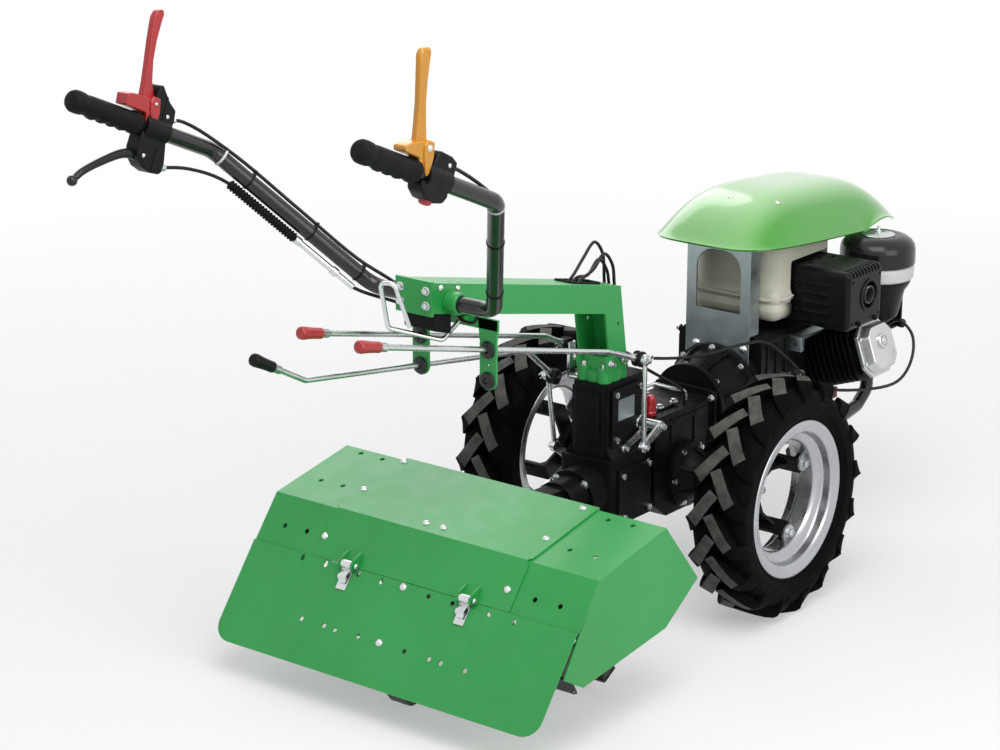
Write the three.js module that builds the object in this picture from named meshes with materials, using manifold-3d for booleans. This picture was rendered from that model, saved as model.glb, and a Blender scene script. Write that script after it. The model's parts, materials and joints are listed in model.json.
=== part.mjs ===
// Two-wheel walking tractor with a rear rotary tiller.
// Millimetres, +Z up. +X points to the engine end, +Y to the operator's left.
// Every size below is laid out from the wheel axle: x = 0 at the axle, z = 0 on the floor.
import * as THREE from 'three';
import { RoundedBoxGeometry } from 'three/addons/geometries/RoundedBoxGeometry.js';
import { mergeVertices } from 'three/addons/utils/BufferGeometryUtils.js';
import Module from 'manifold-3d';

const wasm = await Module();
wasm.setup();

// ---------------------------------------------------------------- driving dimensions

const GAP = 0.3; // between two pieces that touch

const WHEEL = { radius: 222, width: 112, y: 261, rimFlange: 141, beadSeat: 127, well: 104, lip: 41.4 };
const AXLE = { z: WHEEL.radius, shaft: 16, housing: 38, inner: 62, outer: 168, hubFace: 186 };
const SPIDER = { hub: 46, thickness: 8, armWidth: 34, armRadius: 88, angle: 25, arms: 4 };

const PTO = { z: 236, radius: 52, neck: 30 };
const OIL_PLUG = { x: -80, y: -36 };
const GEARCASE_HALF = 20;
const BRACKET_HALF = 18;

const ROTOR = { x: -565, z: 150, radius: 141, shaft: 17, flange: 44, foot: 46, footLength: 34 };
const TINE = { thickness: 8, width: 26, rows: [76, 166, 256], flangeThickness: 8 };
const HOOD = { half: 350, seam: 211, lap: 35, sheet: 3, cheek: 3 };
const HOOD_LINE = { lip: [-483, 302], front: [-483, 323], ridge: [-678, 286], rear: [-736, 213] };
const FLAP = { end: [-850, 64], sheet: 3, gap: 4, corner: 34, axisOut: 9 };
const HINGE = { y: 128, half: 15, pin: 4, ear: 3.5 };
const SKID = { half: 20, thickness: 9, heelX: -742 };

const BEAM = { half: 35, wall: 4, rearX: -712, rearTop: 735, cornerX: -180, cornerTop: 617, depth: 52 };
const POST = { frontX: -159, rearX: -211, bottom: 487 };
const SLOT = { rear: -306, front: -215, half: 20 };
const CLAMP = { half: 38 };
const TUBE = { radius: 13.5, crossX: -668, crossZ: 694, crossHalf: 128, bend: 42 };
const RISER_TOP = { x: -876, y: 292, z: 939 };
const GRIP = { endX: -1186, endY: 287, endZ: 1071, radius: 17.5 };
// Along each handle from its end: where the grip stops, the housing starts and the blade lever stands.
const CONTROL = { radius: 21, length: 57, left: { grip: 149, start: 160, lever: 163, ear: 54 }, right: { grip: 131, start: 148, lever: 130, ear: 42 } };
const BLADE = { height: 143, half: 6, perch: 10, earHalf: 12 };
const GLAND = { along: 56, below: 57 }; // where the brake cable leaves the left housing
const HANGER = { y: 72, sheet: 5, x: -611, upper: 606, lower: 553, radius: 17, topHalf: 21 };
const BUSH = { radius: 12, half: 7, bore: 5.5 };
const ROD = 5; // radius of the control rods
const EYE = { radius: 12, half: 8 };

const TOWER = { rear: -226, front: -99, half: 36, top: 441, bottom: 190, footHalf: 58, waist: 300 };
const CASE = { front: 96, half: 62, top: 350, bottom: 152 };
const CRANK = { z: 320 };
const BELL = { rear: 96.3, front: 192.7, rearRadius: 78, frontRadius: 98 };
const ENGINE = { rear: 196.3, front: 470, right: -92, left: 98, base: 214, top: 440 };
const RECOIL = { depth: 75 };
const HEAD = { x: 427, tilt: 19.2 };
const CYLINDER = { start: 60, firstFin: 104, end: 218, barrel: 42, fins: 7, finHalf: 56, finThickness: 4 };
const COVER = { half: 54, depth: 30, bossRise: 10 };
const MUFFLER = { rear: 298, front: 427, inner: -36, outer: -224, bottom: 452, top: 568 };
const TANK = { rear: 232, front: 462, half: 108, bottom: 462, top: 640, seam: 508 };
const FILTER = { x: 525, y: -154, top: 594, radius: 74, bandTop: 536, bandBottom: 506, bottom: 424 };
const BRACKET = { rear: 193, depth: 34, half: 72, bottom: 379, sheet: 3, windowHalf: 50, windowBottom: 483, windowTop: 602, windowArch: 38 };
const BONNET = { rear: 112, front: 698, half: 139, skirt: 586, crown: 680, sheet: 4, rearLift: 45 };
const BONNET_FORM = { corner: 4, flatness: 3.8, edge: 1.2 }; // exponents: plan outline, crown, and how it runs out to the lip
const CABLE_SLEEVE = 9; // radius of the sleeve round the brake cable on the riser
const BUMPER = { radius: 13, half: 110, ahead: 112, top: 300, low: 190, start: 300 };
const BASE = { rear: 208, ahead: 30, half: 96.7, thickness: 9 };

// ---------------------------------------------------------------- colours and finishes

const paint = (color, roughness = 0.35, metalness = 0) =>
  new THREE.MeshStandardMaterial({ color, roughness, metalness });
const greenPaint = () => paint(0x2f9a4b);
const limePlastic = () => paint(0x6ccb3a, 0.22);
const blackPaint = () => paint(0x15171a, 0.4);
const castBlack = () => paint(0x17181a, 0.6);
const blackRubber = () => paint(0x1b1b1c, 0.8);
const zinc = () => paint(0xb9c0c4, 0.3, 1);
const silver = () => paint(0xb4b8ba, 0.35, 0.9);
const tankPlastic = () => paint(0xc9c4b2, 0.45);

// ---------------------------------------------------------------- solids

/** Turns a closed three.js geometry into a manifold solid whose faces point out. */
function solid(geometry) {
  const bare = geometry.index ? geometry.toNonIndexed() : geometry.clone();
  bare.deleteAttribute('normal');
  bare.deleteAttribute('uv');
  const merged = mergeVertices(bare, 1e-4);
  const vertProperties = Float32Array.from(merged.attributes.position.array);
  const triVerts = Uint32Array.from(merged.index.array);
  if (signedVolume(vertProperties, triVerts) < 0) {
    for (let i = 0; i < triVerts.length; i += 3) {
      [triVerts[i], triVerts[i + 1]] = [triVerts[i + 1], triVerts[i]];
    }
  }
  return new wasm.Manifold(new wasm.Mesh({ numProp: 3, vertProperties, triVerts }));
}

function signedVolume(points, triangles) {
  const corner = (i) => new THREE.Vector3().fromArray(points, 3 * triangles[i]);
  let total = 0;
  for (let i = 0; i < triangles.length; i += 3) {
    total += corner(i).dot(corner(i + 1).cross(corner(i + 2)));
  }
  return total / 6;
}

/** Turns a manifold solid back into a three.js geometry. */
function toGeometry(body) {
  const mesh = body.getMesh();
  const geometry = new THREE.BufferGeometry();
  geometry.setAttribute('position', new THREE.BufferAttribute(mesh.vertProperties, 3));
  geometry.setIndex(new THREE.BufferAttribute(mesh.triVerts, 1));
  geometry.computeVertexNormals();
  return geometry;
}

const join = (...bodies) => bodies.reduce((whole, body) => whole.add(body));
const cut = (body, ...tools) => tools.reduce((rest, tool) => rest.subtract(tool), body);

/** A box between two corners. */
function box(x0, x1, y0, y1, z0, z1) {
  const geometry = new THREE.BoxGeometry(x1 - x0, y1 - y0, z1 - z0);
  geometry.translate((x0 + x1) / 2, (y0 + y1) / 2, (z0 + z1) / 2);
  return solid(geometry);
}

/** A round bar between two points, or a cone frustum where the radii differ. */
function bar(from, to, radius, sides = 16, endRadius = radius) {
  const a = new THREE.Vector3(...from);
  const b = new THREE.Vector3(...to);
  const axis = b.clone().sub(a);
  const geometry = new THREE.CylinderGeometry(endRadius, radius, axis.length(), sides);
  geometry.translate(0, axis.length() / 2, 0);
  const turn = new THREE.Quaternion().setFromUnitVectors(new THREE.Vector3(0, 1, 0), axis.normalize());
  geometry.applyQuaternion(turn);
  geometry.translate(...from);
  return solid(geometry);
}

/** A body turned about an axis along Y through (x, z); the profile is a list of [radius, y]. */
function turnedY(profile, x, z, sides) {
  const points = profile.map(([radius, y]) => new THREE.Vector2(radius, y));
  const geometry = new THREE.LatheGeometry(points, sides);
  geometry.translate(x, 0, z);
  return solid(geometry);
}

/** A body turned about a vertical axis through (x, y); the profile is a list of [radius, z]. */
function turnedZ(profile, x, y, sides) {
  const points = profile.map(([radius, z]) => new THREE.Vector2(radius, z));
  const geometry = new THREE.LatheGeometry(points, sides);
  geometry.rotateX(Math.PI / 2);
  geometry.translate(x, y, 0);
  return solid(geometry);
}

/** A body turned about an axis along X through (y, z); the profile is a list of [radius, x]. */
function turnedX(profile, y, z, sides) {
  const points = profile.map(([radius, x]) => new THREE.Vector2(radius, -x));
  const geometry = new THREE.LatheGeometry(points, sides);
  geometry.rotateZ(Math.PI / 2);
  geometry.translate(0, y, z);
  return solid(geometry);
}

const asShape = (outline) => new THREE.Shape(outline.map(([u, v]) => new THREE.Vector2(u, v)));

/** A flat outline in X and Z, pulled out from y0 to y1. */
function slabXZ(outline, y0, y1) {
  const geometry = new THREE.ExtrudeGeometry(asShape(outline), { depth: y1 - y0, bevelEnabled: false });
  geometry.rotateX(Math.PI / 2);
  geometry.translate(0, y1, 0);
  return solid(geometry);
}

/** A flat outline in X and Y, pulled up from z0 to z1. */
function slabXY(outline, z0, z1) {
  const geometry = new THREE.ExtrudeGeometry(asShape(outline), { depth: z1 - z0, bevelEnabled: false });
  geometry.translate(0, 0, z0);
  return solid(geometry);
}

/** A flat outline in Y and Z, pulled out from x0 to x1. */
function slabYZ(outline, x0, x1) {
  const geometry = new THREE.ExtrudeGeometry(asShape(outline), { depth: x1 - x0, bevelEnabled: false });
  geometry.rotateX(Math.PI / 2);
  geometry.rotateZ(Math.PI / 2);
  geometry.translate(x0, 0, 0);
  return solid(geometry);
}

/** The outline of a strip of sheet that lies on the right-hand side of a line of points. */
function strip(points, thickness) {
  const inner = offsetLine(points, thickness);
  return [...points, ...inner.reverse()];
}

/** A line of points moved sideways by a distance, with mitred corners. */
function offsetLine(points, distance) {
  const normals = points.slice(1).map((end, i) => {
    const run = new THREE.Vector2(end[0] - points[i][0], end[1] - points[i][1]).normalize();
    return new THREE.Vector2(-run.y, run.x);
  });
  return points.map(([u, v], i) => {
    const before = normals[Math.max(i - 1, 0)];
    const after = normals[Math.min(i, normals.length - 1)];
    const mitre = before.clone().add(after).normalize();
    const reach = distance / mitre.dot(after);
    return [u + mitre.x * reach, v + mitre.y * reach];
  });
}

/** A rounded rectangle's outline, anticlockwise, with its corners as short arcs. */
function roundedRectangle(u0, u1, v0, v1, radius, steps = 4) {
  const corners = [[u1, v1, 0], [u0, v1, 1], [u0, v0, 2], [u1, v0, 3]];
  return corners.flatMap(([u, v, quarter]) => {
    const centreU = u - Math.sign(u - (u0 + u1) / 2) * radius;
    const centreV = v - Math.sign(v - (v0 + v1) / 2) * radius;
    return Array.from({ length: steps + 1 }, (_, k) => {
      const angle = (quarter + k / steps) * (Math.PI / 2);
      return [centreU + radius * Math.cos(angle), centreV + radius * Math.sin(angle)];
    });
  });
}

/** A line through chosen stations, straight between them, for a section to follow. */
class StationPath extends THREE.Curve {
  constructor(stations) {
    super();
    this.stations = stations;
  }

  getPoint(t) {
    const place = t * (this.stations.length - 1);
    const i = Math.min(Math.floor(place), this.stations.length - 2);
    return this.stations[i].clone().lerp(this.stations[i + 1], place - i);
  }

  getPointAt(t) {
    return this.getPoint(t);
  }

  getTangentAt(t) {
    const i = Math.round(t * (this.stations.length - 1));
    const before = this.stations[Math.max(i - 1, 0)];
    const here = this.stations[i];
    const after = this.stations[Math.min(i + 1, this.stations.length - 1)];
    const arriving = here.clone().sub(before).normalize();
    return arriving.add(after.clone().sub(here).normalize()).normalize();
  }
}

/** Stations along a line of points whose corners are rounded to a bend radius. */
function bentStations(points, bend, steps) {
  const corners = points.map((p) => new THREE.Vector3(...p));
  const stations = [corners[0]];
  for (let i = 1; i < corners.length - 1; i += 1) {
    stations.push(...cornerArc(corners[i - 1], corners[i], corners[i + 1], bend, steps));
  }
  stations.push(corners[corners.length - 1]);
  return stations;
}

function cornerArc(before, corner, after, bend, steps) {
  const back = before.clone().sub(corner).normalize();
  const on = after.clone().sub(corner).normalize();
  const half = back.angleTo(on) / 2;
  const centre = corner.clone().addScaledVector(back.clone().add(on).normalize(), bend / Math.sin(half));
  const start = corner.clone().addScaledVector(back, bend / Math.tan(half)).sub(centre);
  const axis = on.clone().cross(back).normalize();
  const turn = Math.PI - 2 * half;
  return Array.from({ length: steps + 1 }, (_, k) =>
    start.clone().applyAxisAngle(axis, (k / steps) * turn).add(centre),
  );
}

/** A round or polygonal section carried along stations. */
function sweep(stations, radius, sides = 12) {
  const section = Array.from({ length: sides }, (_, k) => {
    const angle = (2 * Math.PI * k) / sides;
    return [radius * Math.cos(angle), radius * Math.sin(angle)];
  });
  const options = {
    steps: stations.length - 1,
    bevelEnabled: false,
    extrudePath: new StationPath(stations),
  };
  return solid(new THREE.ExtrudeGeometry(asShape(section), options));
}

const bentBar = (points, radius, bend, sides = 12, steps = 6) =>
  sweep(bentStations(points, bend, steps), radius, sides);

/** A cable: a thin round section along a smooth curve through its points. */
function cable(points, radius, steps) {
  const curve = new THREE.CatmullRomCurve3(points.map((p) => new THREE.Vector3(...p)), false, 'centripetal');
  return sweep(curve.getSpacedPoints(steps), radius, 6);
}

const mirrored = (points) => points.map(([x, y, z]) => [x, -y, z]);
const along = (a, b, t) => a.map((value, i) => value + (b[i] - value) * t);

const machine = new THREE.Group();

/** Adds one named piece to the machine. */
function place(name, body, material) {
  const mesh = new THREE.Mesh(toGeometry(body), material);
  mesh.name = name;
  machine.add(mesh);
}

const SIDES = [
  { name: 'left', sign: 1 },
  { name: 'right', sign: -1 },
];

// ---------------------------------------------------------------- wheels

function tyre(sign) {
  const half = WHEEL.width / 2;
  const bead = WHEEL.beadSeat + 2 * GAP;
  const seat = WHEEL.lip - GAP;
  const overFlange = WHEEL.rimFlange + GAP;
  const outer = [
    [bead, seat], [overFlange, seat], [overFlange + 6, WHEEL.lip + 6], [172, half], [196, half - 3],
    [214, half - 9], [WHEEL.radius, half - 18],
  ];
  const inner = outer.map(([r, y]) => [r, -y]).reverse();
  const profile = [...outer, ...inner, outer[0]];
  const placed = profile.map(([r, y]) => [r, y + sign * WHEEL.y]);
  return turnedY(placed, 0, AXLE.z, 32);
}

function rim(sign) {
  const { rimFlange, beadSeat, well } = WHEEL;
  const lipY = WHEEL.lip;
  const outside = [
    [rimFlange, -lipY - 4], [rimFlange, -lipY], [beadSeat, -lipY], [beadSeat - 1, -24], [well + 3, -16],
    [well + 3, 16], [beadSeat - 1, 24], [beadSeat, lipY], [rimFlange, lipY], [rimFlange, lipY + 4],
  ];
  const inside = [
    [beadSeat - 4, lipY + 4], [beadSeat - 5, 25], [well - 1, 17], [well - 1, -17], [beadSeat - 5, -25],
    [beadSeat - 4, -lipY - 4],
  ];
  const profile = [...outside, ...inside, outside[0]].map(([r, y]) => [r, y + sign * WHEEL.y]);
  const tabs = spiderAngles().map((angle) => {
    const y = sign * tabFace();
    const plate = box(well - 24, well + 1, Math.min(y, y + sign * 5), Math.max(y, y + sign * 5), -17, 17);
    return plate.rotate([0, -angle, 0]).translate([0, 0, AXLE.z]);
  });
  return join(turnedY(profile, 0, AXLE.z, 32), ...tabs);
}

const tabFace = () => WHEEL.y + 2;

function spiderAngles() {
  return Array.from({ length: SPIDER.arms }, (_, k) => SPIDER.angle + (360 / SPIDER.arms) * k);
}

/** The wheel's hub on its axle shaft, with the arms that reach out to the rim's tabs. */
function wheelHub(sign) {
  const hubIn = AXLE.hubFace;
  const hubOut = AXLE.hubFace + 22;
  const yBox = (x0, x1, y0, y1, half) =>
    box(x0, x1, Math.min(sign * y0, sign * y1), Math.max(sign * y0, sign * y1), -half, half);
  const hub = bar([0, sign * hubIn, AXLE.z], [0, sign * hubOut, AXLE.z], SPIDER.hub, 20);
  const half = SPIDER.armWidth / 2;
  const arms = spiderAngles().map((angle) => {
    const spoke = yBox(SPIDER.hub - 14, SPIDER.armRadius, hubOut - SPIDER.thickness, hubOut, half);
    const strap = yBox(
      SPIDER.armRadius - SPIDER.thickness, SPIDER.armRadius,
      hubOut - SPIDER.thickness, tabFace() - GAP, half,
    );
    const toe = yBox(
      SPIDER.armRadius - SPIDER.thickness, WHEEL.well - 4,
      tabFace() - GAP - SPIDER.thickness, tabFace() - GAP, half - 2,
    );
    return join(spoke, strap, toe).rotate([0, -angle, 0]).translate([0, 0, AXLE.z]);
  });
  const shaft = bar([0, sign * (AXLE.outer - 34), AXLE.z], [0, sign * (AXLE.hubFace + 30), AXLE.z], AXLE.shaft, 16);
  return join(hub, shaft, ...arms);
}

function axleHousing(sign) {
  const profile = [
    [0, AXLE.inner + GAP], [62, AXLE.inner + GAP], [62, AXLE.inner + 14], [AXLE.housing + 6, AXLE.inner + 30],
    [AXLE.housing, 120], [AXLE.housing, AXLE.outer - 16], [AXLE.housing + 8, AXLE.outer - 14],
    [AXLE.housing + 8, AXLE.outer], [0, AXLE.outer],
  ].map(([r, y]) => [r, sign * y]);
  const bore = bar(
    [0, sign * (AXLE.outer - 36), AXLE.z], [0, sign * (AXLE.outer + 1), AXLE.z], AXLE.shaft + 2 * GAP, 20,
  );
  return cut(turnedY(profile, 0, AXLE.z, 20), bore);
}

for (const { name, sign } of SIDES) {
  place(`tyre_${name}`, tyre(sign), blackRubber());
  place(`rim_${name}`, rim(sign), silver());
  place(`wheel_hub_${name}`, wheelHub(sign), blackPaint());
  place(`axle_housing_${name}`, axleHousing(sign), castBlack());
}

// ---------------------------------------------------------------- gearbox and clutch housing

function gearTower() {
  const { rear, front, half, top, bottom, footHalf, waist } = TOWER;
  const upper = slabXY(roundedRectangle(rear, front - GAP, -half, half, 8, 2), waist - 30, top);
  const lower = slabXY(roundedRectangle(rear - 8, front - GAP, -footHalf, footHalf, 10, 2), bottom, waist);
  const shoulder = slabYZ(
    [[-footHalf + 4, waist - 1], [footHalf - 4, waist - 1], [half - 1, waist + 24], [-half + 1, waist + 24]],
    rear + 4, front - GAP - 4,
  );
  const snout = bar([rear - PTO.neck, 0, PTO.z], [rear + 10, 0, PTO.z], PTO.radius, 24);
  return join(upper, lower, shoulder, snout);
}

function transmissionCase() {
  const { front, half, top, bottom } = CASE;
  const outline = [
    [TOWER.front, top], [TOWER.front, bottom + 30], [TOWER.front + 40, bottom], [front - 30, bottom],
    [front, bottom + 60], [front, top - 4], [20, top - 4], [-50, top],
  ];
  const flange = slabYZ(roundedRectangle(-half - 8, half + 8, bottom + 50, top + 12, 14, 2), front - 12, front);
  return join(slabXZ(outline, -half, half), flange);
}

function bellHousing() {
  const { rear, front, rearRadius, frontRadius } = BELL;
  const profile = [
    [0, rear], [rearRadius, rear], [rearRadius, rear + 14], [rearRadius - 8, rear + 18],
    [frontRadius - 12, front - 34], [frontRadius - 10, front - 16], [frontRadius, front - 14],
    [frontRadius, front], [0, front],
  ];
  return turnedX(profile, 0, CRANK.z, 24);
}

function oilPlug() {
  const seat = CASE.top + GAP;
  const profile = [[0, seat], [11, seat], [11, seat + 8], [9, seat + 10], [9, seat + 36], [6, seat + 40], [0, seat + 40]];
  return turnedZ(profile, OIL_PLUG.x, OIL_PLUG.y, 14);
}

place('gear_tower', gearTower(), castBlack());
place('transmission_case', transmissionCase(), castBlack());
place('bell_housing', bellHousing(), castBlack());
place('oil_plug', oilPlug(), paint(0xc2231d));

// ---------------------------------------------------------------- tiller: gearcase, rotor, hood

/** The unit direction of the flap's face and the one that points out of it, in X and Z. */
const flapRun = new THREE.Vector2(
  FLAP.end[0] - HOOD_LINE.rear[0], FLAP.end[1] - HOOD_LINE.rear[1],
).normalize();
const flapOut = new THREE.Vector2(flapRun.y, -flapRun.x);
const hingeAxis = [
  HOOD_LINE.rear[0] + flapOut.x * FLAP.axisOut,
  HOOD_LINE.rear[1] + flapOut.y * FLAP.axisOut,
];
const hoodPoints = [HOOD_LINE.lip, HOOD_LINE.front, HOOD_LINE.ridge, HOOD_LINE.rear];

function tillerGearcase() {
  const { x, z } = ROTOR;
  const flange = bar([TOWER.rear - PTO.neck - GAP, 0, PTO.z], [TOWER.rear - PTO.neck - 22, 0, PTO.z], PTO.radius, 24);
  const neckEnd = TOWER.rear - PTO.neck - 70;
  const neck = bar([TOWER.rear - PTO.neck - 20, 0, PTO.z], [neckEnd, 0, PTO.z], 42, 24);
  const leg = slabXZ(
    [[neckEnd + 40, PTO.z + 34], [neckEnd - 60, PTO.z + 34], [x - 12, z + 44], [x - 40, z + 20], [x - 40, z - 20],
      [x - 12, z - 42], [x + 20, z - 42], [neckEnd + 10, PTO.z - 40]],
    -GEARCASE_HALF, GEARCASE_HALF,
  );
  const bore = bar([x, -60, z], [x, 60, z], ROTOR.shaft + 2 * GAP, 20);
  return cut(join(flange, neck, leg), bore);
}

/** The underside of the hood from its front edge to its rear one, with room for a piece below. */
const underHood = offsetLine(hoodPoints.slice(1), HOOD.sheet + GAP);

/** The front face of the depth skid, from its top down to its heel and up again behind. */
function skidLine() {
  const [, ridge, rear] = underHood;
  const [topX, topZ] = along(ridge, rear, 0.5);
  const { heelX } = SKID;
  const knots = [
    [topX - 2 * GAP, topZ - 16], [heelX + 20, 165], [heelX + 12, 90], [heelX + 10, 30], [heelX, 0],
    [heelX - 18, 3], [heelX - 32, 20],
  ].map(([x, z]) => new THREE.Vector3(x, 0, z));
  return new THREE.CatmullRomCurve3(knots).getPoints(18).map((p) => [p.x, Math.max(p.z, 0)]);
}

/** The bracket over the gearcase that carries the hood's top and, on its tail lug, the skid. */
function hoodBracket() {
  const [front, ridge, rear] = underHood;
  const tail = along(ridge, rear, 0.5);
  const seat = skidLine().slice(0, 3).map(([x, z]) => [x + GAP + 0.1, z]);
  const foot = seat[seat.length - 1];
  const outline = [
    [front[0] - 20, along(front, ridge, 20 / (front[0] - ridge[0]))[1]], ridge, tail, ...seat,
    [foot[0] + 20, foot[1]], [tail[0] + 26, tail[1] - 14], [ridge[0] + 30, ridge[1] - 32],
    [ROTOR.x - 10, ridge[1] - 30], [ROTOR.x + 20, ROTOR.z + 64], [ROTOR.x + 70, ROTOR.z + 72],
  ];
  const gearcase = tillerGearcase();
  const block = slabXZ(outline, -BRACKET_HALF, BRACKET_HALF);
  return block.subtract(grown(gearcase));
}

/** The same body with a running skin around it, for a neighbour to be cut back by. */
function grown(body) {
  const reach = GAP;
  const shifts = [[reach, 0, 0], [-reach, 0, 0], [0, 0, reach], [0, 0, -reach]];
  return shifts.reduce((whole, shift) => whole.add(body.translate(shift)), body);
}

function tineSet(y, phase) {
  const { x, z, radius, foot, footLength } = ROTOR;
  const { thickness, width, flangeThickness } = TINE;
  const flange = bar([x, y - flangeThickness / 2, z], [x, y + flangeThickness / 2, z], ROTOR.flange, 12);
  const tines = Array.from({ length: 4 }, (_, k) => {
    const side = k % 2 ? 1 : -1;
    const near = y + side * (flangeThickness / 2);
    const far = near + side * thickness;
    const tip = near + side * foot;
    const inside = Math.min(near, far);
    const outside = Math.max(near, far);
    const shank = box(22, radius - 12, inside, outside, -width / 2, width / 2);
    const blade = box(
      radius - thickness - 4, radius - 5, Math.min(near, tip), Math.max(near, tip),
      -width / 2, footLength - width / 2,
    );
    return join(shank, blade).rotate([0, phase + 90 * k, 0]).translate([x, 0, z]);
  });
  return join(flange, ...tines);
}

function rotor() {
  const { x, z, shaft } = ROTOR;
  const reach = TINE.rows[TINE.rows.length - 1] + 12;
  const axle = bar([x, -reach, z], [x, reach, z], shaft, 12);
  const sets = TINE.rows.flatMap((row, i) => [tineSet(row, 60 + 30 * i), tineSet(-row, 90 + 30 * i)]);
  return join(axle, ...sets);
}

function hoodCenter() {
  return slabXZ(strip(hoodPoints, HOOD.sheet), -HOOD.seam, HOOD.seam);
}

/** A side piece of the hood: its sheet lies under the centre's edge and it carries the cheek. */
function hoodExtension(sign) {
  const sheetLine = offsetLine(hoodPoints, HOOD.sheet + GAP);
  const inner = HOOD.seam - HOOD.lap;
  const sheet = slabXZ(strip(sheetLine, HOOD.sheet), inner, HOOD.half);
  const [, front, ridge, rear] = sheetLine;
  const cheekOutline = [
    front, ridge, [rear[0] + 7, rear[1]], [-771, 141], [-717, 110], [-666, 116], [-482, 138], [-387, 200],
  ];
  const cheek = slabXZ(cheekOutline, HOOD.half - HOOD.cheek, HOOD.half);
  const side = join(sheet, cheek);
  return sign > 0 ? side : side.mirror([0, 1, 0]);
}

function flap() {
  const start = [
    HOOD_LINE.rear[0] + flapRun.x * FLAP.gap,
    HOOD_LINE.rear[1] + flapRun.y * FLAP.gap,
  ];
  const plate = slabXZ(strip([start, FLAP.end], FLAP.sheet), -HOOD.half, HOOD.half);
  const corner = FLAP.corner;
  const trims = SIDES.map(({ sign }) => {
    const square = box(0, 1000, Math.min(0, sign * corner), Math.max(0, sign * corner), -30, 30);
    const round = bar([0, 0, -40], [0, 0, 40], corner, 32);
    const edge = cut(square.translate([-500, 0, 0]), round, box(-600, 0, -200, 200, -50, 50));
    return edge.translate([0, sign * (HOOD.half - corner), 0]);
  });
  const tilt = THREE.MathUtils.radToDeg(Math.atan2(-flapRun.y, flapRun.x));
  const centre = [FLAP.end[0] - flapRun.x * corner, 0, FLAP.end[1] - flapRun.y * corner];
  return cut(plate, ...trims.map((trim) => trim.rotate([0, tilt, 0]).translate(centre)));
}

/** A point given by its distance down the flap's face and out of it. */
function onFlap(down, out) {
  return [
    HOOD_LINE.rear[0] + flapRun.x * down + flapOut.x * out,
    HOOD_LINE.rear[1] + flapRun.y * down + flapOut.y * out,
  ];
}

/** The ears and pin on the hood that the flap swings on. */
function flapHinge(sign) {
  const { y, half, ear, pin } = HINGE;
  const middle = sign * y;
  const foot = GAP;
  const earShape = [onFlap(-24, foot), onFlap(-26, foot + 5), onFlap(-8, 17), onFlap(8, 17), onFlap(8, 4), onFlap(-2, foot)];
  const ears = [-1, 1].map((end) => {
    const outer = middle + end * half;
    const inner = outer - end * ear;
    return slabXZ(earShape, Math.min(inner, outer), Math.max(inner, outer));
  });
  const sole = slabXZ([onFlap(-24, foot), onFlap(-24, foot + 3), onFlap(-7, foot + 3), onFlap(-7, foot)], middle - half, middle + half);
  const axis = bar([hingeAxis[0], middle - half - 4, hingeAxis[1]], [hingeAxis[0], middle + half + 4, hingeAxis[1]], pin, 14);
  return join(...ears, sole, axis);
}

/** The plate on the flap whose eye turns on the hinge pin. */
function flapClip(sign) {
  const { y, half, ear, pin } = HINGE;
  const reach = half - ear - 1;
  const middle = sign * y;
  const leaf = slabXZ([onFlap(9, GAP), onFlap(9, GAP + 3), onFlap(44, GAP + 3), onFlap(44, GAP)], middle - reach, middle + reach);
  const riser = slabXZ([onFlap(9, GAP), onFlap(4, 6), onFlap(9, 9), onFlap(14, GAP + 2)], middle - reach, middle + reach);
  const eye = bar([hingeAxis[0], middle - reach, hingeAxis[1]], [hingeAxis[0], middle + reach, hingeAxis[1]], pin + 4, 16);
  const bore = bar([hingeAxis[0], middle - half, hingeAxis[1]], [hingeAxis[0], middle + half, hingeAxis[1]], pin + GAP, 16);
  return cut(join(leaf, riser, eye), bore);
}

/** The curved bar behind the rotor that sets its depth and stands on the floor. */
function depthSkid() {
  const { half, thickness } = SKID;
  return slabXZ(strip(skidLine().reverse(), thickness), -half, half);
}

place('tiller_gearcase', tillerGearcase(), castBlack());
place('hood_bracket', hoodBracket(), blackPaint());
place('tiller_rotor', rotor(), paint(0x1a1a1b, 0.5, 0.6));
place('hood_center', hoodCenter(), greenPaint());
for (const { name, sign } of SIDES) {
  place(`hood_side_${name}`, hoodExtension(sign), greenPaint());
  place(`flap_hinge_${name}`, flapHinge(sign), greenPaint());
  place(`flap_clip_${name}`, flapClip(sign), zinc());
}
place('rear_flap', flap(), greenPaint());
place('depth_skid', depthSkid(), blackPaint());

// ---------------------------------------------------------------- handlebar column

/** The beam's underside and top follow one slope; z of the top edge at a given x. */
const beamSlope = (BEAM.rearTop - BEAM.cornerTop) / (BEAM.rearX - BEAM.cornerX);
const beamTop = (x) => BEAM.cornerTop + (x - BEAM.cornerX) * beamSlope;
const beamBottom = (x) => beamTop(x) - BEAM.depth;

function columnOutline(inset) {
  const backX = BEAM.rearX;
  const innerX = POST.rearX - 15;
  return [
    [backX - inset, beamBottom(backX - inset) - inset], [innerX - inset, beamBottom(innerX - inset) - inset],
    [POST.rearX - inset, POST.bottom - inset], [POST.frontX - inset, POST.bottom - inset],
    [BEAM.cornerX - inset, BEAM.cornerTop - inset], [backX - inset, beamTop(backX - inset) - inset],
  ];
}

/** The folded beam and post: a channel open underneath and to the rear, with a cable slot on top. */
function handlebarColumn() {
  const whole = slabXZ(columnOutline(0), -BEAM.half, BEAM.half);
  const hollow = slabXZ(columnOutline(BEAM.wall), -BEAM.half + BEAM.wall, BEAM.half - BEAM.wall);
  const slot = box(SLOT.rear, SLOT.front, -SLOT.half, SLOT.half, beamTop(SLOT.rear) - 60, beamTop(SLOT.rear) + 60);
  const tubeHole = bar([TUBE.crossX, -60, TUBE.crossZ], [TUBE.crossX, 60, TUBE.crossZ], TUBE.radius + GAP, 20);
  return cut(whole, hollow, slot, tubeHole);
}

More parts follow.
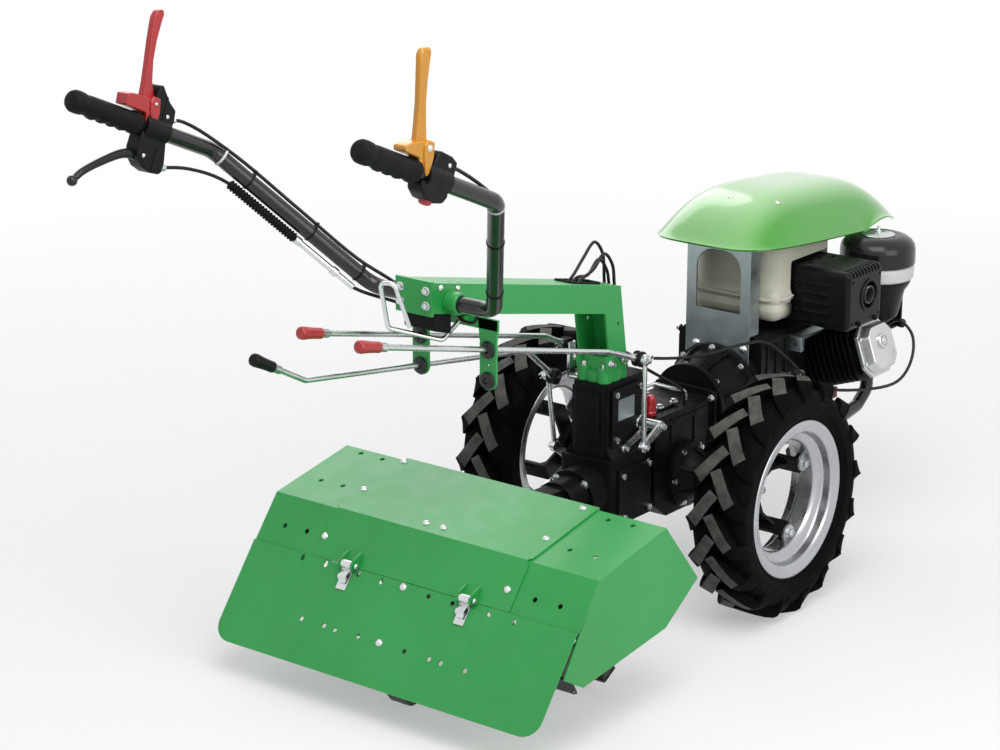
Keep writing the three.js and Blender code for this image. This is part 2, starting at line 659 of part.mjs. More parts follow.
/** The block in the beam's rear end that grips the cross tube, with its rear plate. */
function handlebarClamp() {
  const inside = BEAM.half - BEAM.wall - GAP;
  const rear = BEAM.rearX - GAP;
  const plateOutline = [
    [rear - 6, beamBottom(rear) - 4], [rear, beamBottom(rear) - 4], [rear, beamTop(rear) + 3], [rear - 6, beamTop(rear) + 3],
  ];
  const plate = slabXZ(plateOutline, -CLAMP.half, CLAMP.half);
  const innerTop = (x) => beamTop(x) - BEAM.wall - 2;
  const front = TUBE.crossX + 26;
  const block = slabXZ(
    [[rear - 1, beamBottom(rear) + 4], [front, beamBottom(front) + 4], [front, innerTop(front)], [rear - 1, innerTop(rear)]],
    -inside, inside,
  );
  const hole = bar([TUBE.crossX, -60, TUBE.crossZ], [TUBE.crossX, 60, TUBE.crossZ], TUBE.radius + GAP, 20);
  return cut(join(plate, block), hole);
}

/** The rubber buffer under the beam's rear end. */
function buffer() {
  const x0 = BEAM.rearX + 8;
  const x1 = x0 + 44;
  const top = (x) => beamBottom(x) - GAP;
  return slabXZ([[x0, top(x0) - 30], [x1, top(x1) - 34], [x1, top(x1)], [x0, top(x0)]], -BEAM.half + 2, BEAM.half - 2);
}

/** One leg of the hanger: its outline across the machine, rounded at the foot. */
function hangerLeg(sign) {
  const { y, lower, radius, topHalf } = HANGER;
  const foot = Array.from({ length: 9 }, (_, k) => {
    const angle = Math.PI + (Math.PI * k) / 8;
    return [sign * y + radius * Math.cos(angle), lower + radius * Math.sin(angle)];
  });
  const top = hangerTop() - 2;
  return [[sign * y + topHalf, top], [sign * y - topHalf, top], ...foot];
}

const hangerTop = () => beamBottom(HANGER.x + HANGER.sheet / 2) - GAP;

/** The plate under the beam with a leg on each side, whose rubber bushes guide the control rods. */
function rodHanger() {
  const { y, sheet, x, upper, lower, topHalf } = HANGER;
  const web = box(x - sheet / 2, x + sheet / 2, -y - topHalf, y + topHalf, hangerTop() - 20, hangerTop());
  const legs = SIDES.map(({ sign }) => slabYZ(hangerLeg(sign), x - sheet / 2, x + sheet / 2));
  const bushes = SIDES.flatMap(({ sign }) => [upper, lower].map((z) =>
    bar([x - BUSH.half, sign * y, z], [x + BUSH.half, sign * y, z], BUSH.radius, 12)));
  const passages = RODS.map((rod) => rodPassage(rod));
  const empty = bar([x - 30, -y, lower], [x + 30, -y, lower], BUSH.bore, 12);
  return cut(join(web, ...legs, ...bushes), ...passages, empty);
}

/** The way that a control rod takes through the hanger, with room around it. */
function rodPassage(rod) {
  const [x, z] = rod.line[rod.bushAt];
  const next = rod.line[rod.bushAt + 1];
  const rise = (next[1] - z) / (next[0] - x);
  const reach = 40;
  const y = rod.sign * HANGER.y;
  return bar([x - reach, y, z - reach * rise], [x + reach, y, z + reach * rise], ROD + 3 * GAP, 12);
}

/** The turned foot between the post and the gearbox. */
function columnFoot() {
  const centreX = (POST.frontX + POST.rearX) / 2;
  const disc = turnedZ([[0, TOWER.top + GAP], [35, TOWER.top + GAP], [35, TOWER.top + 20], [0, TOWER.top + 20]], centreX, 0, 28);
  const lobes = [[-24, -22], [-24, 22], [24, -22], [24, 22]].map(([dx, y]) =>
    bar([centreX + dx, y, TOWER.top + GAP], [centreX + dx, y, TOWER.top + 26], 13, 16));
  const block = box(centreX - 24, centreX + 24, -BEAM.half + 4, BEAM.half - 4, TOWER.top + 10, POST.bottom - GAP);
  return join(disc, ...lobes, block);
}

place('handlebar_column', handlebarColumn(), greenPaint());
place('handlebar_clamp', handlebarClamp(), greenPaint());
place('column_buffer', buffer(), blackRubber());
place('column_foot', columnFoot(), greenPaint());

// ---------------------------------------------------------------- handlebar and its controls

const gripEnd = [GRIP.endX, GRIP.endY, GRIP.endZ];
const riserTop = [RISER_TOP.x, RISER_TOP.y, RISER_TOP.z];
const crossEnd = [TUBE.crossX, TUBE.crossHalf, TUBE.crossZ];
const gripAxis = new THREE.Vector3(...riserTop).sub(new THREE.Vector3(...gripEnd)).normalize();

/** A point on the left handle, by its distance from the grip's end and its offset out and up. */
function onHandle(distance, out = 0, up = 0) {
  const across = new THREE.Vector3(0, 0, 1).cross(gripAxis).normalize();
  const lift = gripAxis.clone().cross(across).normalize();
  return new THREE.Vector3(...gripEnd)
    .addScaledVector(gripAxis, distance)
    .addScaledVector(across, out)
    .addScaledVector(lift, up)
    .toArray();
}

const controlOn = (sign) => (sign > 0 ? CONTROL.left : CONTROL.right);

/** Where a blade lever's flat underside stands over the handle. */
const bladeFoot = (sign) => onHandle(controlOn(sign).lever, 0, CONTROL.radius + 14.8);

function handlebarTube() {
  const start = onHandle(6);
  const points = [start, riserTop, crossEnd, ...mirrored([crossEnd, riserTop, start])];
  return bentBar(points, TUBE.radius, TUBE.bend, 12, 4);
}

function grip(sign) {
  const length = controlOn(sign).grip;
  const body = join(
    bar(onHandle(0), onHandle(length), GRIP.radius, 20),
    bar(onHandle(length - 6), onHandle(length), GRIP.radius + 4, 20),
  );
  const bore = bar(onHandle(5), onHandle(length + 5), TUBE.radius + GAP, 16);
  const hollow = body.subtract(bore);
  return sign > 0 ? hollow : hollow.mirror([0, 1, 0]);
}

/** The lever housing clamped on the handle beside the grip, bored for the tube. */
function leverHousing(sign) {
  const { start } = controlOn(sign);
  const end = start + CONTROL.length;
  const foot = bladeFoot(sign);
  const collar = bar(onHandle(start), onHandle(end), CONTROL.radius, 16);
  const upper = bar(onHandle(start + 12, 0, 24), onHandle(end - 4, 0, 20), 15, 8);
  const lower = bar(onHandle(start + 6, 0, -20), onHandle(start + 34, 0, -20), 16, 8);
  const perch = slabXZ(
    [[foot[0] + 3, foot[2] - 30], [foot[0] + 26, foot[2] - 36], [foot[0] + 26, foot[2] - 14], [foot[0] + 13, foot[2] - GAP], [foot[0] + 3, foot[2] - GAP]],
    foot[1] - BLADE.perch, foot[1] + BLADE.perch,
  );
  const arm = bar(onHandle(start + 18, 0, -12), onHandle(start + 18, 0, sign > 0 ? -58 : -34), 14, 10);
  const bore = bar(onHandle(controlOn(sign).grip - 5), onHandle(end + 5), TUBE.radius + GAP, 16);
  const cableLug = bar(onHandle(start + 18, 0, -46), onHandle(start + GLAND.along - 2, 0, -GLAND.below), 10, 8);
  const body = cut(join(collar, upper, lower, arm, perch, ...(sign > 0 ? [cableLug] : [])), bore);
  return sign > 0 ? body : body.mirror([0, 1, 0]);
}

/** The long blade lever that stands up from its pivot in front of the grip. */
function bladeLever(sign) {
  const foot = bladeFoot(sign);
  const lean = sign > 0 ? 1 : 0.35;
  const outline = [
    [-30, 0], [14, 0], [14, 0.1], [9, 0.24], [3, 0.46], [4, 0.7], [7, 0.92], [5, 0.98], [-1, 1], [-9, 0.99], [-13, 0.95],
    [-11, 0.7], [-10, 0.46], [-13, 0.24], [-30, 0.1],
  ].map(([u, v]) => [foot[0] + u + 34 * lean * v ** 2, foot[2] + v * BLADE.height]);
  const { lever, ear } = controlOn(sign);
  const overGrip = GRIP.radius + 5;
  const earOutline = [[lever - ear, overGrip], [lever - ear, 37], [lever - 4, 42], [lever - 4, overGrip]].map(([distance, up]) => {
    const point = onHandle(distance, 0, up);
    return [point[0], point[2]];
  });
  const blade = join(
    slabXZ(outline, foot[1] - BLADE.half, foot[1] + BLADE.half),
    slabXZ(earOutline, foot[1] - BLADE.earHalf, foot[1] + BLADE.earHalf),
  );
  return sign > 0 ? blade : blade.mirror([0, 1, 0]);
}

/** The curved brake lever below the left grip. */
function brakeLever() {
  const root = onHandle(CONTROL.left.start + 2.9, 0, -50);
  const points = [[0, 0], [-26, 8], [-72, 3], [-112, -6], [-133, -16]].map(([u, v]) =>
    new THREE.Vector3(root[0] + u, root[1], root[2] + v));
  const stations = new THREE.CatmullRomCurve3(points).getSpacedPoints(14);
  return sweep(stations, 7, 10);
}

place('handlebar', handlebarTube(), blackPaint());
for (const { name, sign } of SIDES) {
  place(`grip_${name}`, grip(sign), blackRubber());
  place(`lever_housing_${name}`, leverHousing(sign), paint(0x141415, 0.5));
}
place('engine_stop_lever', bladeLever(1), paint(0xc51f25, 0.35));
place('clutch_lever', bladeLever(-1), paint(0xd28a1c, 0.35));
place('brake_lever', brakeLever(), paint(0x18181a, 0.3));

// ---------------------------------------------------------------- control rods

/** A rod's line in X and Z, straight through its bush and on to where it bends. */
function throughBush(start, z, bendX, end) {
  const slope = (z - start[1]) / (HANGER.x - start[0]);
  return [start, [HANGER.x, z], [bendX, z + (bendX - HANGER.x) * slope], end];
}

/** The three rods and where each runs, from its hand grip forward. */
const RODS = [
  { name: 'drive_rod', sign: 1, bushAt: 1, line: throughBush([-868, 667], HANGER.upper, -262, [-196, 492]) },
  { name: 'speed_rod', sign: -1, bushAt: 1, line: throughBush([-894, 676], HANGER.upper, -269, [-172, 486]) },
  {
    name: 'tiller_rod', sign: 1, bushAt: 2,
    line: [[-983, 638], ...throughBush([-905, 597], HANGER.lower, -318, [-234, 441])],
  },
];
const rodEnd = (rod) => rod.line[rod.line.length - 1];

/** A rod with its hand grip behind and the eye at its front end. */
function controlRod(rod) {
  const y = rod.sign * HANGER.y;
  const points = rod.line.map(([x, z]) => [x, y, z]);
  const corners = points.filter((point, i) => i !== rod.bushAt);
  const stem = bentBar(corners, ROD, 16, 8, 3);
  const eyeAt = corners[corners.length - 1];
  const eye = bar([eyeAt[0], y - EYE.half, eyeAt[2]], [eyeAt[0], y + EYE.half, eyeAt[2]], EYE.radius, 14);
  return join(stem, eye, rodGrip(points[0], points[1]));
}

function rodGrip(start, next) {
  const back = new THREE.Vector3(...start).sub(new THREE.Vector3(...next)).normalize();
  const at = (distance) => new THREE.Vector3(...start).addScaledVector(back, distance).toArray();
  return join(bar(at(-8), at(44), 8.5, 12, 10.5), bar(at(43), at(49), 10.5, 12, 6));
}

/** An upright rod beside a control rod's eye, with the arm and shaft that it turns on the gearbox. */
function linkage(rod, foot, pivot, half) {
  const inner = rod.sign * (HANGER.y + EYE.half + GAP);
  const outer = inner + rod.sign * 9;
  const middle = (inner + outer) / 2;
  const [topX, topZ] = rodEnd(rod);
  const head = bar([topX, inner, topZ], [topX, outer, topZ], 10, 12);
  const stem = bar([topX, middle, topZ], [foot[0], middle, foot[1]], 4.5, 8);
  const ball = bar([foot[0], inner, foot[1]], [foot[0], outer, foot[1]], 10, 12);
  const shaft = bar([pivot[0], rod.sign * (half + GAP), pivot[1]], [pivot[0], middle, pivot[1]], 10, 12);
  const arm = bar([foot[0], middle, foot[1]], [pivot[0], middle, pivot[1]], 6, 8);
  return join(head, stem, ball, arm, shaft);
}

/** The short crank between the drive rod's eye and the gearbox. */
function driveCrank(rod) {
  const inner = HANGER.y - EYE.half - GAP;
  const [topX, topZ] = rodEnd(rod);
  const web = slabXZ(
    [[topX - 9, topZ + 8], [topX - 9, topZ - 66], [topX + 9, topZ - 66], [topX + 9, topZ + 8]], inner - 6, inner,
  );
  const shaft = bar([topX, TOWER.half + GAP, topZ - 60], [topX, inner, topZ - 60], 9, 14);
  return join(web, shaft);
}

place('rod_hanger', rodHanger(), greenPaint());
for (const rod of RODS) {
  place(rod.name, controlRod(rod), zinc());
}
place('drive_crank', driveCrank(RODS[0]), zinc());
place('speed_linkage', linkage(RODS[1], [-172, 322], [-120, 348], TOWER.half), zinc());
place('tiller_linkage', linkage(RODS[2], [-212, 300], [-160, 262], TOWER.footHalf), zinc());

/** The bent wire loop that releases the handlebar, hooked under the beam. */
function releaseLoop() {
  const left = 30;
  const right = 0;
  const hookX = HANGER.x - HANGER.sheet / 2 - 2.5;
  const points = [
    [hookX, -20, hangerTop() - 8], [-668, -20, 626], [-748, left, 656], [-766, left, 736], [-766, right, 740], [-738, right - 8, 662],
  ];
  return bentBar(points, 4, 10, 8, 3);
}

place('release_loop', releaseLoop(), zinc());

// ---------------------------------------------------------------- engine

/** A rounded block between two corners. */
function roundedBox(x0, x1, y0, y1, z0, z1, radius, segments = 2) {
  const geometry = new RoundedBoxGeometry(x1 - x0, y1 - y0, z1 - z0, segments, radius);
  geometry.translate((x0 + x1) / 2, (y0 + y1) / 2, (z0 + z1) / 2);
  return solid(geometry);
}

function engineBlock() {
  const { rear, front, right, left, base, top } = ENGINE;
  const flangeFront = rear + 14;
  const case_ = slabYZ(roundedRectangle(right, left, base, top, 26, 3), flangeFront - 1, front);
  const flange = turnedX([[0, rear], [BELL.frontRadius, rear], [BELL.frontRadius, flangeFront], [0, flangeFront]], 0, CRANK.z, 32);
  const saddle = box(rear + 40, front, MUFFLER.inner + 14, 60, top - 10, TANK.bottom - GAP);
  return join(case_, flange, saddle);
}

/** Lays a body modelled along the cylinder's own axis (out along -Y, z up) onto the slanted barrel. */
function onCylinder(body) {
  return body.rotate([-HEAD.tilt, 0, 0]).translate([HEAD.x, 0, CRANK.z]);
}

function cylinder() {
  const { start, firstFin, end, barrel, fins, finHalf, finThickness } = CYLINDER;
  const pitch = (end - firstFin) / fins;
  const core = box(-barrel, barrel, -end, -start, -barrel, barrel);
  const plates = Array.from({ length: fins }, (_, k) => {
    const at = firstFin + pitch * k;
    const outline = roundedRectangle(-finHalf, finHalf, -finHalf, finHalf, 14, 1);
    const plate = slabYZ(outline, -finThickness / 2, finThickness / 2).rotate([0, 0, 90]);
    return plate.translate([0, -at, 0]);
  });
  const whole = onCylinder(join(core, ...plates));
  return whole.subtract(box(ENGINE.rear, ENGINE.front + 100, ENGINE.right - GAP, ENGINE.left, 0, 700));
}

function valveCover() {
  const { end } = CYLINDER;
  const half = COVER.half;
  const cham = half * 0.42;
  const octagon = (h, c) => [
    [h, h - c], [h - c, h], [-h + c, h], [-h, h - c], [-h, -h + c], [-h + c, -h], [h - c, -h], [h, -h + c],
  ];
  const layer = (h, c, from, to) =>
    slabYZ(octagon(h, c), from, to).rotate([0, 0, 90]).mirror([0, 1, 0]);
  const flange = layer(half, cham, end + GAP, end + 9);
  const dome = layer(half - 6, cham - 4, end + 8, end + COVER.depth);
  const stud = bar([0, -(end + COVER.depth - 1), COVER.bossRise], [0, -(end + COVER.depth + 8), COVER.bossRise], 7, 10);
  return onCylinder(join(flange, dome, stud));
}

function muffler() {
  const { rear, front, inner, outer, bottom, top } = MUFFLER;
  const guard = roundedBox(rear, front, outer, inner, bottom, top, 14, 1);
  const { finHalf } = CYLINDER;
  const port = onCylinder(bar([-30, -165, finHalf + GAP], [-30, -165, finHalf + 40], 20, 14));
  const outlet = bar([front - 34, outer + 6, top - 44], [front - 34, outer - 2, top - 44], 24, 20);
  return join(guard, port, outlet);
}

function filterCap() {
  const { x, y, top, radius, bandTop } = FILTER;
  const seat = bandTop + GAP;
  const profile = [
    [0, seat], [radius, seat], [radius, top - 22], [radius - 8, top - 6], [radius - 20, top], [28, top],
    [28, top + 3], [8, top + 4], [8, top + 14], [0, top + 14],
  ];
  return turnedZ(profile, x, y, 22);
}

function filterBody() {
  const { x, y, radius, bandTop, bandBottom, bottom } = FILTER;
  const profile = [
    [0, bottom], [34, bottom], [40, bottom + 10], [radius - 12, bandBottom - 16], [radius - 4, bandBottom],
    [radius - 4, bandTop], [0, bandTop],
  ];
  const bowl = turnedZ(profile, x, y, 22);
  const carburettor = roundedBox(x - 34, x + 22, y - 26, y + 26, bottom - 46, bottom + 4, 8, 1);
  const finFace = HEAD.x + CYLINDER.finHalf + GAP;
  const intake = bar([finFace, y, bottom - 26], [x - 30, y, bottom - 26], 18, 14);
  return join(bowl, carburettor, intake);
}

function fuelTank() {
  const { rear, front, half, bottom, top, seam } = TANK;
  const shell = roundedBox(rear, front, -half, half, bottom, top, 38, 2);
  const seamRing = roundedBox(rear - 3, front + 3, -half - 3, half + 3, seam - 4, seam + 4, 3.5, 1);
  return join(shell, seamRing).subtract(grownMuffler());
}

/** The muffler's own room beside the tank. */
function grownMuffler() {
  const { rear, front, inner, outer, bottom, top } = MUFFLER;
  const air = 8;
  return box(rear - air, front + air, outer - air, inner + air, bottom - air, top + air);
}

function recoilCover() {
  const { front, right, left, base, top } = ENGINE;
  const seat = front + GAP;
  const shroud = slabYZ(roundedRectangle(right + 4, left - 4, base + 8, top - 4, 40, 3), seat, seat + 16);
  const end = front + RECOIL.depth;
  const profile = [[0, seat + 10], [88, seat + 10], [84, seat + 34], [60, end - 4], [0, end]];
  return join(shroud, turnedX(profile, 0, CRANK.z, 28));
}

function engineBase() {
  const { rear, ahead, half, thickness } = BASE;
  const front = ENGINE.front + ahead;
  const top = ENGINE.base - GAP;
  const plate = box(rear, front, -half, half, top - thickness, top);
  const rails = SIDES.map(({ sign }) =>
    box(rear + 30, front - 10, Math.min(sign * 60, sign * 40), Math.max(sign * 60, sign * 40), top - 26, top - thickness + 1));
  return join(plate, ...rails);
}

function tankBracket() {
  const { rear, depth, half, bottom, sheet, windowHalf, windowBottom, windowTop, windowArch } = BRACKET;
  const rearPlate = box(rear, rear + sheet, -half, half, bottom, BONNET.crown);
  const flanges = SIDES.map(({ sign }) => {
    const [y0, y1] = [sign * half, sign * (half - sheet)].sort((a, b) => a - b);
    return box(rear, rear + depth, y0, y1, ENGINE.top + GAP, BONNET.crown);
  });
  const sill = box(rear - 1, rear + sheet + 1, -windowHalf, windowHalf, windowBottom, windowTop - windowArch);
  const arch = slabYZ(roundedRectangle(-windowHalf, windowHalf, windowBottom, windowTop, windowArch, 4), rear - 1, rear + sheet + 1);
  const underBonnet = dome(BONNET.sheet + GAP, ENGINE.base);
  return cut(join(rearPlate, ...flanges), sill, arch).intersect(underBonnet);
}

/** The bonnet's domed form set in by a distance, down to its skirt or to a flat floor below. */
function dome(inset, floor = null) {
  const { rear, front, half, skirt, crown, rearLift } = BONNET;
  const { corner, flatness, edge } = BONNET_FORM;
  const geometry = new THREE.BoxGeometry(2, 2, 2, 16, 12, 1);
  const position = geometry.attributes.position;
  const middle = (rear + front) / 2;
  const length = (front - rear) / 2;
  for (let i = 0; i < position.count; i += 1) {
    const [a, b] = [position.getX(i), position.getY(i)];
    const ring = Math.max(Math.abs(a), Math.abs(b), 1e-6);
    const reach = Math.sin((ring * Math.PI) / 2);
    const share = reach / Math.max(1, Math.abs(a / ring) ** corner + Math.abs(b / ring) ** corner) ** (1 / corner);
    const x = middle + (a / ring) * share * (length - inset);
    const y = (b / ring) * share * (half - inset);
    const rise = Math.max(0, 1 - reach ** flatness) ** edge;
    const lip = skirt + rearLift * ((front - x) / (front - rear));
    const top = lip + rise * (crown - skirt - inset);
    position.setXYZ(i, x, y, position.getZ(i) > 0 ? top + 0.01 : floor ?? lip - 0.01);
  }
  return solid(geometry);
}

/** The bonnet: a thin domed shell, open underneath. */
const bonnet = () => cut(dome(0), dome(BONNET.sheet, BONNET.skirt - 50));

function bumper() {
  const { radius, half, ahead, top, low, start } = BUMPER;
  const x = ENGINE.front + ahead;
  const leg = [[start, half, low], [x - 37, half, low + 36], [x, half, low + 62], [x, half, top]];
  return bentBar([...leg, ...mirrored([...leg].reverse())], radius, 24, 10, 3);
}

place('engine_block', engineBlock(), castBlack());
place('engine_cylinder', cylinder(), castBlack());
place('valve_cover', valveCover(), silver());
place('muffler', muffler(), blackPaint());
place('air_filter_cap', filterCap(), paint(0x141415, 0.4));
place('air_filter_body', filterBody(), paint(0x1b1b1c, 0.5));
place('fuel_tank', fuelTank(), tankPlastic());
place('recoil_cover', recoilCover(), blackPaint());
place('engine_base', engineBase(), blackPaint());
place('tank_bracket', tankBracket(), zinc());
place('bonnet', bonnet(), limePlastic());
place('front_bumper', bumper(), blackPaint());

// ---------------------------------------------------------------- cables

/** A point beside the left riser: share of the way down it, and offset out and under. */
function onRiser(share, out, under) {
  const from = new THREE.Vector3(...riserTop);
  const down = new THREE.Vector3(...crossEnd).sub(from);
  const run = down.clone().normalize();
  const below = new THREE.Vector3(0, 0, -1).addScaledVector(run, run.z).normalize();
  const outward = below.clone().cross(run).normalize();
  return from.addScaledVector(down, share).addScaledVector(outward, out).addScaledVector(below, under).toArray();
}

const CABLE = 3; // radius of a control cable
const BESIDE = TUBE.radius + CABLE + 1;

/** From the cross tube under the beam's side wall, along the channel and out of its slot. */
function throughBeam(side, lane, ahead) {
  const entry = TUBE.crossX + ahead;
  return [
    [entry + 2, side * 58, 655], [entry, side * 34, beamBottom(entry) - 8], [HANGER.x, lane, 668],
    [-540, lane, beamTop(-540) - 18], [-330, lane, beamTop(-330) - 14], [-290, lane, beamTop(-290) - 10],
  ];
}

/** The loop above the slot and down in front of the post. */
function overPost(lane, height) {
  const peak = beamTop(-190) + height;
  return [
    [-262, lane, beamTop(-262) + 8], [-228, lane, peak - 22], [-196, lane, peak], [-170, lane, peak - 26],
    [-163, lane, beamTop(-170) - 4], [POST.frontX + 12, lane, 540], [POST.frontX + 14, lane, 480],
  ];
}

/** The brake cable, with the sleeve and the bare adjuster tube that it wears on the riser. */
function brakeCable() {
  const gland = onHandle(CONTROL.left.start + GLAND.along, 0, -GLAND.below);
  const sleeveTop = onRiser(0.16, 4, TUBE.radius + CABLE_SLEEVE + 1);
  const sleeveEnd = onRiser(0.56, 4, TUBE.radius + CABLE_SLEEVE + 1);
  const tubeEnd = onRiser(0.93, 4, TUBE.radius + CABLE_SLEEVE + 1);
  const upper = cable([gland, along(gland, sleeveTop, 0.45).map((v, i) => v + (i === 2 ? 10 : 0)), sleeveTop, sleeveEnd], CABLE, 10);
  const sleeve = bar(sleeveTop, sleeveEnd, CABLE_SLEEVE, 10);
  const tube = bar(along(sleeveTop, sleeveEnd, 0.98), tubeEnd, 6, 10);
  const lower = cable([
    along(sleeveEnd, tubeEnd, 0.97), tubeEnd, [TUBE.crossX + 26, 92, 664], ...throughBeam(1, 3, 26), ...overPost(3, 44),
    [-112, 8, 462], [-80, 20, 436], [-64, 34, 384], [-62, 34, CASE.top + GAP],
  ], CABLE, 48);
  return join(upper, sleeve, tube, lower);
}

/** The engine-stop cable: from the left housing to the carburettor, round the valve cover. */
function stopCable() {
  const gland = onHandle(CONTROL.left.start + CONTROL.length + 0.5, 0, 22);
  return cable([
    gland, onHandle(CONTROL.left.start + 88, -8, 26), onRiser(0.1, -4, -BESIDE), onRiser(0.5, -4, -BESIDE), onRiser(0.86, -4, -BESIDE),
    [TUBE.crossX + 24, 104, 700], [TUBE.crossX + 36, 80, 680], ...throughBeam(1, 14, 38), ...overPost(13, 74),
    [-108, 16, 472], [-70, 2, 452], [40, -50, 436], [150, -84, 440], [205, -100, 436], [262, -112, 396],
    [330, -150, 326], [385, -212, 318], [440, -258, 330], [486, -262, 366], [508, -248, 408], [FILTER.x - 14, -216, 430], [FILTER.x - 12, FILTER.y - 28, 410],
  ], CABLE, 64);
}

/** The clutch cable: from the right housing to the transmission. */
function clutchCable() {
  const mirror = ([x, y, z]) => [x, -y, z];
  return cable([
    mirror(onHandle(CONTROL.right.start + CONTROL.length + 0.5, 0, 22)), mirror(onHandle(CONTROL.right.start + 88, -8, 26)),
    mirror(onRiser(0.1, -4, -BESIDE)), mirror(onRiser(0.5, -4, -BESIDE)), mirror(onRiser(0.86, -4, -BESIDE)),
    [TUBE.crossX + 22, -104, 700], [TUBE.crossX + 26, -76, 676], ...throughBeam(-1, -9, 30), ...overPost(-9, 56),
    [-112, -12, 462], [-76, -26, 434], [-20, -40, 398], [16, -44, 372], [20, -44, CASE.top - 4 + 3 * GAP],
  ], CABLE, 54);
}

place('brake_cable', brakeCable(), blackRubber());
place('stop_cable', stopCable(), blackRubber());
place('clutch_cable', clutchCable(), blackRubber());

// ---------------------------------------------------------------- placing

const bounds = new THREE.Box3().setFromObject(machine);
const middle = bounds.getCenter(new THREE.Vector3());
machine.position.set(-middle.x, -middle.y, -bounds.min.z);

export default machine;
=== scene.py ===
"""Looks of a two-wheel walking tractor with a rear rotary tiller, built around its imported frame.

Sizes are in millimetres from the wheel axle (x forward, y to the operator's left, z up from the floor)
and turn into the frame's metres in `mm`.
"""

import json
import logging
import math
from dataclasses import dataclass, field
from enum import Enum

import bpy
from mathutils import Matrix, Vector

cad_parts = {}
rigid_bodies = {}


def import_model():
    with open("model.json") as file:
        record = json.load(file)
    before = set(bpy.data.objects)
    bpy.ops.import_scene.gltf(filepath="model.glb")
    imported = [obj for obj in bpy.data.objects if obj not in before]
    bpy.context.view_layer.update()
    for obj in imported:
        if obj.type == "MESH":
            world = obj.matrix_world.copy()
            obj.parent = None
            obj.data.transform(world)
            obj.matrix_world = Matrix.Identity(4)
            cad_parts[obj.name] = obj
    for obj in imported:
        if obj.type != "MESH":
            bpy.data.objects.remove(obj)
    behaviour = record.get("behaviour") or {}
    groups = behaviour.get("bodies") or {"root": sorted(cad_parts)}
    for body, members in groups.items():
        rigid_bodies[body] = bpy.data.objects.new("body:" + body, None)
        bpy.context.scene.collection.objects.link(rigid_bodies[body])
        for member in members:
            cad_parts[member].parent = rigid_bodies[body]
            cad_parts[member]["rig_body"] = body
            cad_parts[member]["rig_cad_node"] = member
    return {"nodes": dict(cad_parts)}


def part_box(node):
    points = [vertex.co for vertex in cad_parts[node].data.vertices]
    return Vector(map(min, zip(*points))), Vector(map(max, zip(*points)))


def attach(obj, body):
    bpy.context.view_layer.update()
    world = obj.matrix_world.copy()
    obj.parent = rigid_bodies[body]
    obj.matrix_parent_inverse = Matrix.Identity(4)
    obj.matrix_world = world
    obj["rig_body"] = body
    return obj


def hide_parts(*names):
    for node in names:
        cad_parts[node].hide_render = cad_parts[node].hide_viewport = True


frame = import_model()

logging.basicConfig(level=logging.INFO, format="%(name)s: %(message)s")
LOG = logging.getLogger("walking_tractor")

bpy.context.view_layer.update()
_LOW, _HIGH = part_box("tyre_left")
AXLE_X: float = (_LOW.x + _HIGH.x) / 2
MM: float = 0.001
GAP: float = 0.3  # millimetres between two pieces that touch
TURN: float = 2 * math.pi
X, Y, Z = Vector((1, 0, 0)), Vector((0, 1, 0)), Vector((0, 0, 1))


def mm(x: float, y: float, z: float) -> Vector:
    """A point of the frame in metres.

    Args:
        x: Millimetres ahead of the axle.
        y: Millimetres to the operator's left.
        z: Millimetres above the floor.

    Returns:
        The same point in the frame's metres.
    """
    return Vector((AXLE_X + x * MM, y * MM, z * MM))


def across(point: Vector) -> Vector:
    """The point's mirror image on the machine's other side."""
    return Vector((point.x, -point.y, point.z))


class Side(Enum):
    """The operator's left or right."""

    LEFT = 1
    RIGHT = -1

    @property
    def word(self) -> str:
        """The side's name as the nodes spell it."""
        return self.name.lower()


class Body(Enum):
    """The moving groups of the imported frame."""

    CHASSIS = "chassis"
    WHEEL_LEFT = "wheel_left"
    WHEEL_RIGHT = "wheel_right"
    ROTOR = "tiller_rotor"
    FLAP = "rear_flap"


class Pattern(Enum):
    """What breaks up a finish at close range."""

    CLOUDS = "clouds"
    SPANGLE = "spangle"
    BRUSHED = "brushed"
    CAST = "cast"


# ---------------------------------------------------------------- shader work


